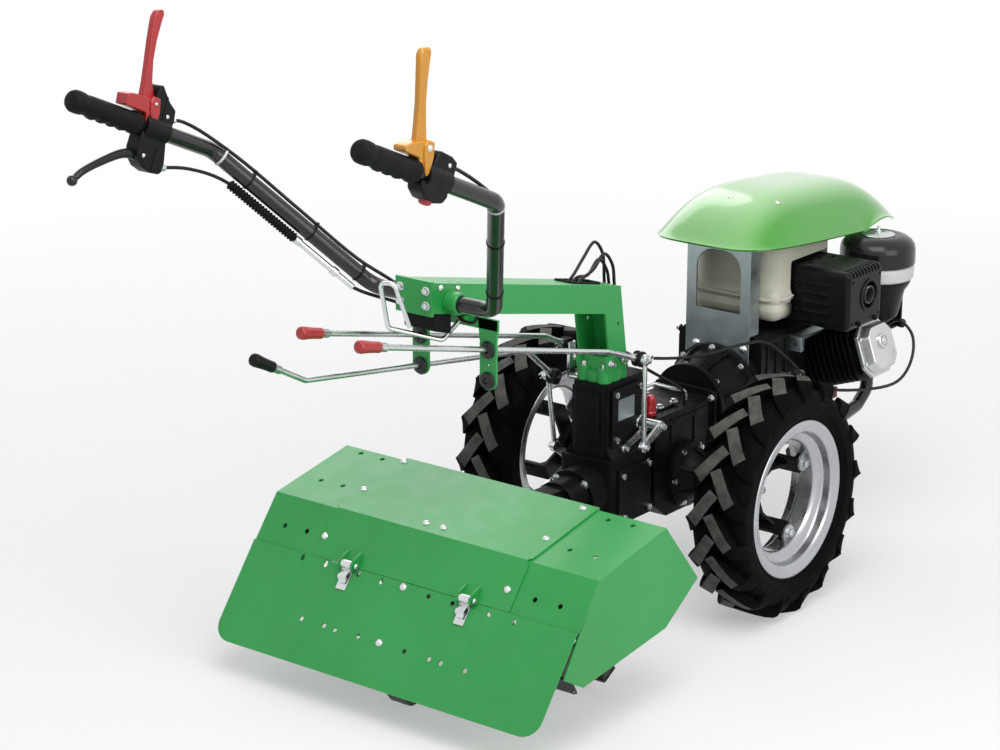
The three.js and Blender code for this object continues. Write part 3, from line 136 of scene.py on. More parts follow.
class Graph:
    """A hand for wiring shader nodes in one tree."""

    def __init__(self, tree: bpy.types.NodeTree) -> None:
        """Takes the tree to be wired."""
        self.tree = tree

    def add(self, kind: str, inputs: dict | None = None, **settings: object) -> bpy.types.Node:
        """Adds a node.

        Args:
            kind: The node's type name.
            inputs: Values or output sockets for its inputs, by input name or index.
            **settings: Properties of the node itself.

        Returns:
            The new node.
        """
        node = self.tree.nodes.new(kind)
        for key, value in settings.items():
            setattr(node, key, value)
        for key, value in (inputs or {}).items():
            if isinstance(value, bpy.types.NodeSocket):
                self.tree.links.new(value, node.inputs[key])
            else:
                node.inputs[key].default_value = value
        return node

    def math(self, operation: str, a: object, b: object = 0.0) -> bpy.types.NodeSocket:
        """One arithmetic step on two values; returns its result socket."""
        return self.add("ShaderNodeMath", {0: a, 1: b}, operation=operation).outputs[0]

    def ramp(
        self, value: object, low: float, high: float, to_low: float = 0.0, to_high: float = 1.0
    ) -> bpy.types.NodeSocket:
        """Stretches a value's range from low..high to to_low..to_high, clamped."""
        inputs = {"Value": value, "From Min": low, "From Max": high, "To Min": to_low, "To Max": to_high}
        return self.add("ShaderNodeMapRange", inputs).outputs["Result"]

    def mix(self, mask: object, first: object, second: object) -> bpy.types.NodeSocket:
        """Blends two colours by a mask and returns the colour socket."""
        node = self.add("ShaderNodeMix", data_type="RGBA")
        colours = [s for s in node.inputs if s.type == "RGBA"]
        for socket, value in ((node.inputs[0], mask), (colours[0], first), (colours[1], second)):
            if isinstance(value, bpy.types.NodeSocket):
                self.tree.links.new(value, socket)
            else:
                socket.default_value = value
        return next(s for s in node.outputs if s.type == "RGBA")


class Effects:
    """The surface effects that several finishes share, each a node group built once."""

    @staticmethod
    def _group(
        name: str, inputs: list[tuple[str, str]], outputs: list[tuple[str, str]]
    ) -> tuple[bpy.types.NodeTree, Graph, bpy.types.Node, bpy.types.Node]:
        """Opens a new group with named sockets.

        Args:
            name: The group's name.
            inputs: Name and kind of each input.
            outputs: Name and kind of each output.

        Returns:
            The group, a graph to wire it, its input node and its output node.
        """
        tree = bpy.data.node_groups.new(name, "ShaderNodeTree")
        for label, kind in inputs:
            tree.interface.new_socket(label, in_out="INPUT", socket_type=kind)
        for label, kind in outputs:
            tree.interface.new_socket(label, in_out="OUTPUT", socket_type=kind)
        graph = Graph(tree)
        return tree, graph, graph.add("NodeGroupInput"), graph.add("NodeGroupOutput")

    @classmethod
    def patina(cls) -> bpy.types.NodeTree:
        """Slow change of colour and gloss over a surface, such as handling and age leave."""
        found = bpy.data.node_groups.get("patina")
        if found:
            return found
        colour, value, vector = "NodeSocketColor", "NodeSocketFloat", "NodeSocketVector"
        inputs = [("Vector", vector), ("Base", colour), ("Tint", colour), ("Scale", value), ("Amount", value),
                  ("Smooth", value), ("Rough", value)]
        tree, graph, source, sink = cls._group("patina", inputs, [("Colour", colour), ("Roughness", value)])
        slow = graph.add(
            "ShaderNodeTexNoise",
            {"Vector": source.outputs["Vector"], "Scale": source.outputs["Scale"], "Detail": 5.0, "Roughness": 0.62}
        )
        quick_scale = graph.math("MULTIPLY", source.outputs["Scale"], 4.7)
        quick = graph.add(
            "ShaderNodeTexNoise",
            {"Vector": source.outputs["Vector"], "Scale": quick_scale, "Detail": 3.0, "Distortion": 0.4}
        )
        mask = graph.math("MULTIPLY", graph.ramp(slow.outputs[0], 0.36, 0.66), source.outputs["Amount"])
        tint = graph.mix(mask, source.outputs["Base"], source.outputs["Tint"])
        blend = graph.math(
            "ADD", graph.math("MULTIPLY", slow.outputs[0], 0.5), graph.math("MULTIPLY", quick.outputs[0], 0.5)
        )
        share = graph.ramp(blend, 0.38, 0.62)
        span = graph.math("SUBTRACT", source.outputs["Rough"], source.outputs["Smooth"])
        rough = graph.math("ADD", graph.math("MULTIPLY", share, span), source.outputs["Smooth"])
        tree.links.new(tint, sink.inputs["Colour"])
        tree.links.new(rough, sink.inputs["Roughness"])
        return tree

    @classmethod
    def dust(cls) -> bpy.types.NodeTree:
        """A thin film that lies on what faces up and gathers in patches."""
        found = bpy.data.node_groups.get("dust")
        if found:
            return found
        value, vector = "NodeSocketFloat", "NodeSocketVector"
        inputs = [("Vector", vector), ("Normal", vector), ("Amount", value)]
        tree, graph, source, sink = cls._group("dust", inputs, [("Mask", value)])
        up = graph.add("ShaderNodeSeparateXYZ", {0: source.outputs["Normal"]}).outputs["Z"]
        noise = graph.add(
            "ShaderNodeTexNoise", {"Vector": source.outputs["Vector"], "Scale": 26.0, "Detail": 6.0, "Roughness": 0.7}
        )
        lying = graph.math("MULTIPLY", graph.ramp(up, 0.1, 1.0), graph.ramp(noise.outputs[0], 0.42, 0.68))
        tree.links.new(graph.math("MULTIPLY", lying, source.outputs["Amount"]), sink.inputs["Mask"])
        return tree

    @classmethod
    def scuffs(cls) -> bpy.types.NodeTree:
        """Small chips and rubbed spots, as a mask."""
        found = bpy.data.node_groups.get("scuffs")
        if found:
            return found
        value, vector = "NodeSocketFloat", "NodeSocketVector"
        inputs = [("Vector", vector), ("Scale", value), ("Amount", value)]
        tree, graph, source, sink = cls._group("scuffs", inputs, [("Mask", value)])
        wide = graph.add(
            "ShaderNodeTexNoise",
            {"Vector": source.outputs["Vector"], "Scale": source.outputs["Scale"], "Detail": 8.0, "Roughness": 0.72}
        )
        fine_scale = graph.math("MULTIPLY", source.outputs["Scale"], 9.0)
        fine = graph.add("ShaderNodeTexVoronoi", {"Vector": source.outputs["Vector"], "Scale": fine_scale})
        floor = graph.math("SUBTRACT", 0.78, graph.math("MULTIPLY", source.outputs["Amount"], 0.3))
        wide_mask = graph.math("GREATER_THAN", wide.outputs[0], floor)
        fine_mask = graph.math("LESS_THAN", fine.outputs["Distance"], 0.42)
        tree.links.new(graph.math("MULTIPLY", wide_mask, fine_mask), sink.inputs["Mask"])
        return tree


Colour = tuple[float, float, float]


@dataclass(frozen=True)
class Finish:
    """One surface finish: its colours, gloss and the pattern that shows close by."""

    name: str
    base: Colour
    tint: Colour
    smooth: float = 0.3
    rough: float = 0.45
    metallic: float = 0.0
    coat: float = 0.0
    scale: float = 9.0
    amount: float = 0.5
    pattern: Pattern = Pattern.CLOUDS
    grain: float = 700.0
    depth: float = 0.00012
    dust: float = 0.0
    chips: float = 0.0
    under: Colour = (0.32, 0.31, 0.30)
    specular: float = 0.5
    # pale sets a painted sheen: a pale green mixed into faces that look up, in place of the bright reflection on a
    # glossy top
    pale: float = 0.0

    def material(self) -> bpy.types.Material:
        """Builds the finish's material, or gives the one already made.

        Returns:
            The finish as a material that reads Object coordinates.
        """
        found = bpy.data.materials.get(self.name)
        if found:
            return found
        material = bpy.data.materials.new(self.name)
        material.use_nodes = True
        graph = Graph(material.node_tree)
        shader = material.node_tree.nodes["Principled BSDF"]
        vector = graph.add("ShaderNodeTexCoord").outputs["Object"]
        patina = graph.add("ShaderNodeGroup", node_tree=Effects.patina())
        values = {"Vector": vector, "Base": (*self.base, 1), "Tint": (*self.tint, 1), "Scale": self.scale,
                  "Amount": self.amount, "Smooth": self.smooth, "Rough": self.rough}
        self._feed(graph, patina, values)
        colour, rough = patina.outputs["Colour"], patina.outputs["Roughness"]
        height, shade = self._grain(graph, vector)
        if shade is not None:
            colour = graph.mix(shade, colour, (*self.tint, 1))
        if self.chips:
            chips = graph.add("ShaderNodeGroup", node_tree=Effects.scuffs())
            self._feed(graph, chips, {"Vector": vector, "Scale": 16.0, "Amount": self.chips})
            colour = graph.mix(chips.outputs["Mask"], colour, (*self.under, 1))
        if self.dust:
            film = graph.add("ShaderNodeGroup", node_tree=Effects.dust())
            normal = graph.add("ShaderNodeNewGeometry").outputs["Normal"]
            self._feed(graph, film, {"Vector": vector, "Normal": normal, "Amount": self.dust})
            colour = graph.mix(film.outputs["Mask"], colour, (0.42, 0.39, 0.33, 1))
            rough = graph.math("ADD", rough, graph.math("MULTIPLY", film.outputs["Mask"], 0.3))
        # Painted highlight: faces that look up are mixed towards a pale green, standing in for the reflection of the
        # bright surround on a glossy top
        if self.pale:
            up = graph.add(
                "ShaderNodeSeparateXYZ", {0: graph.add("ShaderNodeNewGeometry").outputs["Normal"]}
            ).outputs["Z"]
            colour = graph.mix(graph.ramp(up, 0.62, 1.0, 0.0, self.pale), colour, (0.53, 0.82, 0.45, 1))
        bump = graph.add("ShaderNodeBump", {"Strength": 0.6, "Distance": self.depth, "Height": height})
        graph.tree.links.new(colour, shader.inputs["Base Color"])
        graph.tree.links.new(rough, shader.inputs["Roughness"])
        graph.tree.links.new(bump.outputs[0], shader.inputs["Normal"])
        shader.inputs["Metallic"].default_value = self.metallic
        shader.inputs["Specular IOR Level"].default_value = self.specular
        shader.inputs["Coat Weight"].default_value = self.coat
        shader.inputs["Coat Roughness"].default_value = 0.12
        return material

    def _grain(self, graph: Graph, vector: bpy.types.NodeSocket) -> tuple[
        bpy.types.NodeSocket, bpy.types.NodeSocket | None
    ]:
        """Wires the pattern that shows close by.

        Args:
            graph: The material's graph.
            vector: Object coordinates.

        Returns:
            A height for bump, and a mask towards the tint where the pattern also shows as colour.
        """
        if self.pattern is Pattern.SPANGLE:
            cells = graph.add(
                "ShaderNodeTexVoronoi", {"Vector": vector, "Scale": self.grain * 0.2, "Randomness": 1.0}
            )
            value = graph.add("ShaderNodeSeparateColor", {0: cells.outputs["Color"]}).outputs[0]
            fine = graph.add("ShaderNodeTexNoise", {"Vector": vector, "Scale": self.grain, "Detail": 3.0}).outputs[0]
            return graph.math("ADD", graph.math("MULTIPLY", value, 0.3), fine), graph.math("MULTIPLY", value, 0.35)
        if self.pattern is Pattern.BRUSHED:
            turned = graph.add("ShaderNodeMapping", {"Vector": vector, "Scale": (0.06, 1.0, 1.0)}).outputs[0]
            lines = graph.add("ShaderNodeTexNoise", {"Vector": turned, "Scale": self.grain, "Detail": 4.0}).outputs[0]
            return lines, graph.ramp(lines, 0.45, 0.7, 0.0, 0.4)
        noise = graph.add(
            "ShaderNodeTexNoise", {"Vector": vector, "Scale": self.grain, "Detail": 4.0, "Roughness": 0.6}
        ).outputs[0]
        if self.pattern is Pattern.CAST:
            pits = graph.add(
                "ShaderNodeTexVoronoi", {"Vector": vector, "Scale": self.grain * 0.45}, feature="SMOOTH_F1"
            ).outputs["Distance"]
            return graph.math("ADD", noise, graph.math("MULTIPLY", pits, 0.9)), None
        return noise, None

    @staticmethod
    def _feed(graph: Graph, node: bpy.types.Node, values: dict) -> None:
        """Sets or links a node's inputs by name."""
        for key, value in values.items():
            if isinstance(value, bpy.types.NodeSocket):
                graph.tree.links.new(value, node.inputs[key])
            else:
                node.inputs[key].default_value = value


class Finishes:
    """Every finish on the machine."""

    GREEN = Finish(
        "green_enamel", (0.022, 0.320, 0.066), (0.032, 0.385, 0.088), 0.30, 0.42, scale=5.0, amount=0.5, coat=0.12,
        grain=420.0, depth=0.00010, dust=0.05, specular=0.4
    )
    # LIME's pale=0.74 paints a pale highlight onto the bonnet's upward faces
    LIME = Finish(
        "lime_shell", (0.042, 0.330, 0.013), (0.056, 0.380, 0.021), 0.16, 0.24, scale=5.0, amount=0.4, coat=0.8,
        grain=260.0, depth=0.00004, pale=0.74
    )
    POWDER = Finish(
        "black_powder_coat", (0.0046, 0.0048, 0.0052), (0.0085, 0.0088, 0.0095), 0.26, 0.40, scale=14.0, coat=0.03,
        grain=900.0, depth=0.00016, dust=0.015, specular=0.14
    )
    CASTING = Finish(
        "black_casting", (0.0030, 0.0032, 0.0035), (0.0070, 0.0073, 0.0080), 0.36, 0.54, scale=18.0,
        pattern=Pattern.CAST, grain=520.0, depth=0.00045, specular=0.10
    )
    ENGINE = Finish(
        "engine_black", (0.0040, 0.0043, 0.0050), (0.0090, 0.0094, 0.0105), 0.28, 0.44, scale=16.0,
        pattern=Pattern.CAST, grain=620.0, depth=0.00032, dust=0.02, specular=0.16
    )
    ZINC = Finish(
        "bright_zinc", (0.62, 0.64, 0.66), (0.74, 0.75, 0.73), 0.20, 0.34, metallic=1.0, scale=24.0, amount=0.6,
        grain=900.0, depth=0.00005
    )
    SHEET_ZINC = Finish(
        "zinc_sheet", (0.30, 0.36, 0.375), (0.42, 0.48, 0.49), 0.30, 0.46, metallic=1.0, scale=7.0, amount=0.7,
        pattern=Pattern.SPANGLE, grain=420.0, depth=0.00006
    )
    SILVER = Finish(
        "silver_lacquer", (0.44, 0.45, 0.47), (0.53, 0.54, 0.56), 0.22, 0.34, metallic=0.95, scale=11.0, grain=1500.0,
        depth=0.00008, dust=0.06
    )
    ALUMINIUM = Finish(
        "cast_aluminium", (0.60, 0.61, 0.62), (0.72, 0.73, 0.74), 0.26, 0.40, metallic=0.85, scale=20.0,
        pattern=Pattern.CAST, grain=900.0, depth=0.00012
    )
    STEEL = Finish(
        "worn_steel", (0.035, 0.033, 0.032), (0.090, 0.084, 0.078), 0.36, 0.55, metallic=0.5, scale=26.0, chips=0.75,
        grain=600.0, depth=0.0003
    )
    TYRE = Finish(
        "tyre_rubber", (0.0024, 0.0025, 0.0027), (0.0050, 0.0050, 0.0054), 0.50, 0.70, scale=22.0, grain=520.0,
        depth=0.00030, specular=0.03
    )
    LUG_FACE = Finish(
        "worn_lug_face", (0.048, 0.047, 0.044), (0.120, 0.117, 0.108), 0.62, 0.82, scale=40.0, amount=0.9, chips=0.5,
        under=(0.012, 0.012, 0.012), grain=420.0, depth=0.0004, specular=0.2
    )
    RUBBER = Finish(
        "black_rubber_finish", (0.0050, 0.0050, 0.0054), (0.0095, 0.0095, 0.0100), 0.50, 0.68, scale=30.0,
        grain=1100.0, depth=0.00018, specular=0.14
    )
    BLACK_PLASTIC = Finish(
        "black_plastic_finish", (0.0044, 0.0044, 0.0048), (0.0082, 0.0082, 0.0090), 0.30, 0.44, scale=20.0,
        grain=1300.0, depth=0.00010, dust=0.01, specular=0.16
    )
    RED_PLASTIC = Finish(
        "red_plastic_finish", (0.400, 0.012, 0.017), (0.480, 0.018, 0.022), 0.24, 0.36, scale=18.0, coat=0.3,
        grain=600.0, depth=0.00006
    )
    ORANGE_PLASTIC = Finish(
        "orange_plastic_finish", (0.580, 0.250, 0.014), (0.640, 0.300, 0.022), 0.24, 0.36, scale=18.0, coat=0.3,
        grain=600.0, depth=0.00006
    )
    TANK = Finish(
        "tank_plastic_finish", (0.560, 0.550, 0.455), (0.660, 0.650, 0.555), 0.34, 0.46, scale=7.0, amount=0.8,
        grain=380.0, depth=0.00014, specular=0.35
    )
    WHITE_BAND = Finish(
        "white_plastic", (0.62, 0.63, 0.64), (0.70, 0.71, 0.72), 0.36, 0.46, scale=12.0, grain=500.0, depth=0.00008
    )
    JACKET = Finish(
        "cable_jacket_finish", (0.0060, 0.0060, 0.0066), (0.012, 0.012, 0.013), 0.30, 0.44, scale=40.0, grain=1500.0,
        depth=0.00008, specular=0.3
    )
    DARK_RED = Finish(
        "dark_red_enamel", (0.170, 0.010, 0.016), (0.220, 0.016, 0.022), 0.32, 0.44, scale=18.0, grain=600.0,
        depth=0.00008
    )
    POWDER_GLOSS = Finish(
        "gloss_black_coat", (0.0062, 0.0062, 0.0068), (0.011, 0.011, 0.012), 0.16, 0.26, scale=14.0, coat=0.35,
        grain=900.0, depth=0.00008, dust=0.03, specular=0.35
    )
    BLACK_GLOSS = Finish(
        "gloss_black_plastic", (0.0066, 0.0066, 0.0072), (0.012, 0.012, 0.013), 0.20, 0.32, scale=20.0, coat=0.2,
        grain=1200.0, depth=0.00007, specular=0.3
    )


# ---------------------------------------------------------------- the bench


Outline = list[Vector]


class Bench:
    """Modelling steps done with Blender's own operators, each on one object at a time."""

    @staticmethod
    def clear() -> None:
        """Leaves edit mode and deselects everything."""
        if bpy.context.object and bpy.context.object.mode != "OBJECT":
            bpy.ops.object.mode_set(mode="OBJECT")
        bpy.ops.object.select_all(action="DESELECT")

    @classmethod
    def take(cls, *objs: bpy.types.Object) -> bpy.types.Object:
        """Selects these objects alone, makes the first active and returns it."""
        cls.clear()
        for obj in objs:
            obj.select_set(True)
        bpy.context.view_layer.objects.active = objs[0]
        return objs[0]

    @classmethod
    def edit(cls, obj: bpy.types.Object, everything: bool = True) -> None:
        """Opens an object for editing with all or none of it selected."""
        cls.take(obj)
        bpy.ops.object.mode_set(mode="EDIT")
        bpy.ops.mesh.select_all(action="SELECT" if everything else "DESELECT")

    @classmethod
    def settle(cls, obj: bpy.types.Object) -> bpy.types.Object:
        """Puts the object's place into its mesh, so that it sits unturned at the origin."""
        cls.take(obj)
        bpy.ops.object.transform_apply(location=True, rotation=True, scale=True)
        return obj

    @classmethod
    def trace(cls, name: str, points: Outline) -> bpy.types.Object:
        """Draws a chain of edges through points.

        Args:
            name: The new object's name.
            points: Where the chain runs, in metres.

        Returns:
            The object, still in edit mode with its last vertex selected.
        """
        cls.clear()
        bpy.ops.mesh.primitive_plane_add(size=0.01, location=points[0])
        obj = bpy.context.object
        obj.name = name
        bpy.ops.object.mode_set(mode="EDIT")
        bpy.ops.mesh.merge(type="CENTER")
        for start, end in zip(points, points[1:]):
            bpy.ops.mesh.extrude_vertices_move(TRANSFORM_OT_translate={"value": end - start})
        return obj

    @classmethod
    def slab(
        cls, name: str, outline: Outline, depth: Vector, bevel: float = 0.0, segments: int = 2
    ) -> bpy.types.Object:
        """Fills a traced outline and pulls it out to a thickness.

        Args:
            name: The new object's name.
            outline: The outline's corners in order.
            depth: How far and which way it is pulled.
            bevel: Width of the rounding along its sharp edges, in millimetres.
            segments: Steps in that rounding.

        Returns:
            The finished solid.
        """
        obj = cls.trace(name, outline)
        bpy.ops.mesh.select_all(action="SELECT")
        bpy.ops.mesh.edge_face_add()
        bpy.ops.mesh.extrude_region_move(TRANSFORM_OT_translate={"value": depth})
        bpy.ops.mesh.select_all(action="SELECT")
        bpy.ops.mesh.normals_make_consistent(inside=False)
        cls.settle(obj)
        return cls.round(obj, bevel, segments) if bevel else obj

    @classmethod
    def turned(
        cls, name: str, profile: list[tuple[float, float]], at: Vector, axis: Vector, steps: int = 48,
        bevel: float = 0.0, segments: int = 2
    ) -> bpy.types.Object:
        """Spins a profile into a turned solid.

        Args:
            name: The new object's name.
            profile: Radius and height of each corner in millimetres, heights counted along the axis.
            at: The point where height is nought.
            axis: The direction of the axis.
            steps: Faces round the turn.
            bevel: Width of the rounding along its sharp edges, in millimetres.
            segments: Steps in that rounding.

        Returns:
            The finished solid.
        """
        axis = axis.normalized()
        out = axis.orthogonal().normalized()
        obj = cls.trace(name, [at + out * (r * MM) + axis * (h * MM) for r, h in profile])
        bpy.ops.mesh.select_all(action="SELECT")
        bpy.ops.mesh.spin(steps=steps, angle=TURN, center=at, axis=axis)
        bpy.ops.mesh.select_all(action="SELECT")
        bpy.ops.mesh.remove_doubles(threshold=0.00002)
        bpy.ops.mesh.normals_make_consistent(inside=False)
        cls.settle(obj)
        return cls.round(obj, bevel, segments) if bevel else obj

    @classmethod
    def drill(cls, radius: float, reach: float = 12.0, steps: int = 18) -> bpy.types.Object:
        """A pin on the Z axis that a hole is cut with, its radius and reach in millimetres."""
        return cls.turned("drill", [(0, -reach), (radius, -reach), (radius, reach), (0, reach)], Vector(), Z, steps)

    @classmethod
    def tube(cls, name: str, points: Outline, radius: float, rings: int = 4, hole: bool = False) -> bpy.types.Object:
        """Draws a round bar or tube along a line.

        Args:
            name: The new object's name.
            points: The line, close enough together to be smooth.
            radius: Its radius in millimetres.
            rings: How finely its section is rounded.
            hole: Whether its ends are left open and given a wall.

        Returns:
            The tube as a mesh.
        """
        obj = cls.trace(name, points)
        bpy.ops.object.mode_set(mode="OBJECT")
        cls.settle(obj)
        bpy.ops.object.convert(target="CURVE")
        obj.data.bevel_depth = radius * MM
        obj.data.bevel_resolution = rings
        obj.data.use_fill_caps = not hole
        bpy.ops.object.convert(target="MESH")
        if hole:
            cls.modify(obj, "SOLIDIFY", thickness=2.2 * MM, offset=-1.0)
        return obj

    @classmethod
    def modify(cls, obj: bpy.types.Object, kind: str, **settings: object) -> bpy.types.Object:
        """Adds one modifier, sets it and applies it."""
        cls.take(obj)
        bpy.ops.object.modifier_add(type=kind)
        modifier = obj.modifiers[-1]
        for key, value in settings.items():
            setattr(modifier, key, value)
        bpy.ops.object.modifier_apply(modifier=modifier.name)
        return obj

    @classmethod
    def round(cls, obj: bpy.types.Object, width: float, segments: int = 2, angle: float = 32.0) -> bpy.types.Object:
        """Rounds an object's sharp edges by a width in millimetres and shades it smooth."""
        cls.modify(
            obj, "BEVEL", width=width * MM, segments=segments, limit_method="ANGLE", angle_limit=math.radians(angle),
            miter_outer="MITER_ARC", harden_normals=False
        )
        return cls.smooth(obj)

    @classmethod
    def smooth(cls, obj: bpy.types.Object, angle: float = 34.0) -> bpy.types.Object:
        """Shades smooth across edges flatter than an angle in degrees."""
        cls.take(obj)
        bpy.ops.object.shade_smooth_by_angle(angle=math.radians(angle))
        cls.modify(obj, "WEIGHTED_NORMAL", keep_sharp=True, weight=80)
        return obj

    @classmethod
    def cut(cls, obj: bpy.types.Object, *tools: bpy.types.Object, keep: str = "DIFFERENCE") -> bpy.types.Object:
        """Cuts an object with solid tools, or joins or trims it by them, and removes the tools."""
        for tool in tools:
            cls.modify(obj, "BOOLEAN", operation=keep, object=tool, solver="EXACT")
            bpy.data.objects.remove(tool)
        return obj

    @classmethod
    def merged(cls, name: str, *objs: bpy.types.Object) -> bpy.types.Object:
        """Joins objects into one under a name."""
        cls.take(*objs)
        if len(objs) > 1:
            bpy.ops.object.join()
        objs[0].name = name
        return objs[0]

    @classmethod
    def copied(
        cls, name: str, model: bpy.types.Object, places: list[Matrix], keep_model: bool = False
    ) -> bpy.types.Object:
        """Sets copies of one model at several places, each with its own mesh, and joins them.

        Args:
            name: The joined object's name.
            model: What is copied.
            places: Where each copy goes, as a matrix applied to the model.
            keep_model: Whether the model itself stays in the scene.

        Returns:
            The joined copies.
        """
        made = []
        for place in places:
            twin = model.copy()
            twin.data = model.data.copy()
            bpy.context.scene.collection.objects.link(twin)
            twin.data.transform(place)
            if place.determinant() < 0:
                twin.data.flip_normals()
            made.append(twin)
        if not keep_model:
            bpy.data.objects.remove(model)
        return cls.merged(name, *made)

    @classmethod
    def refined(cls, node: str, width: float = 0.8, segments: int = 2, angle: float = 30.0) -> bpy.types.Object:
        """Copies a node of the frame, cleans its faces and rounds its edges.

        Args:
            node: The node that the copy stands for.
            width: Width of the rounding in millimetres.
            segments: Steps in that rounding.
            angle: The flattest edge that is rounded, in degrees.

        Returns:
            The copy, with the node hidden.
        """
        cls.take(frame["nodes"][node])
        bpy.ops.object.duplicate()
        obj = bpy.context.object
        obj.name = f"{node}_body"
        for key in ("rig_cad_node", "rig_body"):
            del obj[key]
        obj.parent = None
        obj.data.materials.clear()
        cls.edit(obj)
        bpy.ops.mesh.customdata_custom_splitnormals_clear()
        bpy.ops.mesh.remove_doubles(threshold=0.00001)
        bpy.ops.mesh.dissolve_limited(angle_limit=math.radians(0.6))
        bpy.ops.object.mode_set(mode="OBJECT")
        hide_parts(node)
        return cls.round(obj, width, segments, angle) if width else obj

    @classmethod
    def paint(cls, obj: bpy.types.Object, finish: Finish, chosen: "callable") -> None:
        """Gives a second finish to the faces that a test picks by their centre and normal."""
        obj.data.materials.append(finish.material())
        slot = len(obj.data.materials) - 1
        for face in obj.data.polygons:
            if chosen(face.center, face.normal):
                face.material_index = slot


def dress(
    obj: bpy.types.Object, finish: Finish, slot: str, *nodes: str, body: Body = Body.CHASSIS
) -> bpy.types.Object:
    """Gives a piece its finish and its place on a moving group.

    Args:
        obj: The piece.
        finish: Its finish.
        slot: A material slot name; not used.
        *nodes: The frame's nodes that it stands for.
        body: The group that it rides on.

    Returns:
        The piece.
    """
    if obj.data.materials:
        obj.data.materials[0] = finish.material()
    else:
        obj.data.materials.append(finish.material())
    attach(obj, body.value)
    if nodes:
        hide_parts(*nodes)
    LOG.info("%s: %d faces", obj.name, len(obj.data.polygons))
    return obj


def facing(at: Vector, axis: Vector, turn: float = 0.0) -> Matrix:
    """A matrix that takes a model standing on +Z at the origin to a point, along an axis.

    Args:
        at: Where the model's foot goes.
        axis: The direction it stands in.
        turn: Its turn about that axis in degrees.

    Returns:
        The matrix.
    """
    turned = axis.normalized().to_track_quat("Z", "Y").to_matrix().to_4x4()
    return Matrix.Translation(at) @ turned @ Matrix.Rotation(math.radians(turn), 4, "Z")


def around(at: Vector, axis: str, count: int, start: float = 0.0) -> list[Matrix]:
    """Equal turns about a line.

    Args:
        at: A point of the line.
        axis: The line's direction, as a letter.
        count: How many turns make a circle.
        start: The first turn in radians.

    Returns:
        The turns as matrices.
    """
    there = Matrix.Translation(at)
    return [there @ Matrix.Rotation(TURN * k / count + start, 4, axis) @ there.inverted() for k in range(count)]


def ring(radius: float, count: int, start: float = 0.0) -> list[tuple[float, float]]:
    """Points round a circle, as pairs in the radius's own unit."""
    return [
        (radius * math.cos(start + TURN * k / count), radius * math.sin(start + TURN * k / count))
        for k in range(count)
    ]


def filleted(points: Outline, radius: float, steps: int = 6) -> Outline:
    """Rounds the inner corners of a line.

    Args:
        points: The line's corners.
        radius: The bend's radius in millimetres.
        steps: Points in each bend.

    Returns:
        The line with its corners rounded.
    """
    line = [points[0]]
    for before, corner, after in zip(points, points[1:], points[2:]):
        into, out = (before - corner), (after - corner)
        half = into.angle(out) / 2
        if half > math.radians(88):
            line.append(corner)
            continue
        reach = min(radius * MM / math.tan(half), into.length * 0.48, out.length * 0.48)
        first, last = corner + into.normalized() * reach, corner + out.normalized() * reach
        r = reach * math.tan(half)
        middle = corner + (into.normalized() + out.normalized()).normalized() * (r / math.sin(half))
        a, b = first - middle, last - middle
        sweep = a.angle(b)
        for k in range(steps + 1):
            t = k / steps
            line.append(middle + (a * math.sin((1 - t) * sweep) + b * math.sin(t * sweep)) / math.sin(sweep))
    line.append(points[-1])
    return line


def smoothed(points: Outline, steps: int) -> Outline:
    """A smooth line through points, by centripetal Catmull-Rom.

    Args:
        points: What the line passes through.
        steps: Points between each pair.

    Returns:
        The line's points.
    """
    ends = [points[0] * 2 - points[1], *points, points[-1] * 2 - points[-2]]
    line = [points[0].copy()]
    for p0, p1, p2, p3 in zip(ends, ends[1:], ends[2:], ends[3:]):
        t1 = math.sqrt((p1 - p0).length)
        t2 = t1 + math.sqrt((p2 - p1).length)
        t3 = t2 + math.sqrt((p3 - p2).length)
        for k in range(1, steps + 1):
            t = t1 + (t2 - t1) * k / steps
            a1 = p0 * ((t1 - t) / t1) + p1 * (t / t1)
            a2 = p1 * ((t2 - t) / (t2 - t1)) + p2 * ((t - t1) / (t2 - t1))
            a3 = p2 * ((t3 - t) / (t3 - t2)) + p3 * ((t - t2) / (t3 - t2))
            b1 = a1 * ((t2 - t) / t2) + a2 * (t / t2)
            b2 = a2 * ((t3 - t) / (t3 - t1)) + a3 * ((t - t1) / (t3 - t1))
            line.append(b1 * ((t2 - t) / (t2 - t1)) + b2 * ((t - t1) / (t2 - t1)))
    return line


def block(name: str, low: Vector, high: Vector, bevel: float = 1.0, segments: int = 2) -> bpy.types.Object:
    """A cuboid casting or plate between two corners, its edges rounded by a width in millimetres."""
    base = [
        Vector((low.x, low.y, low.z)), Vector((high.x, low.y, low.z)), Vector((high.x, high.y, low.z)),
        Vector((low.x, high.y, low.z))
    ]
    return Bench.slab(name, base, Z * (high.z - low.z), bevel, segments)


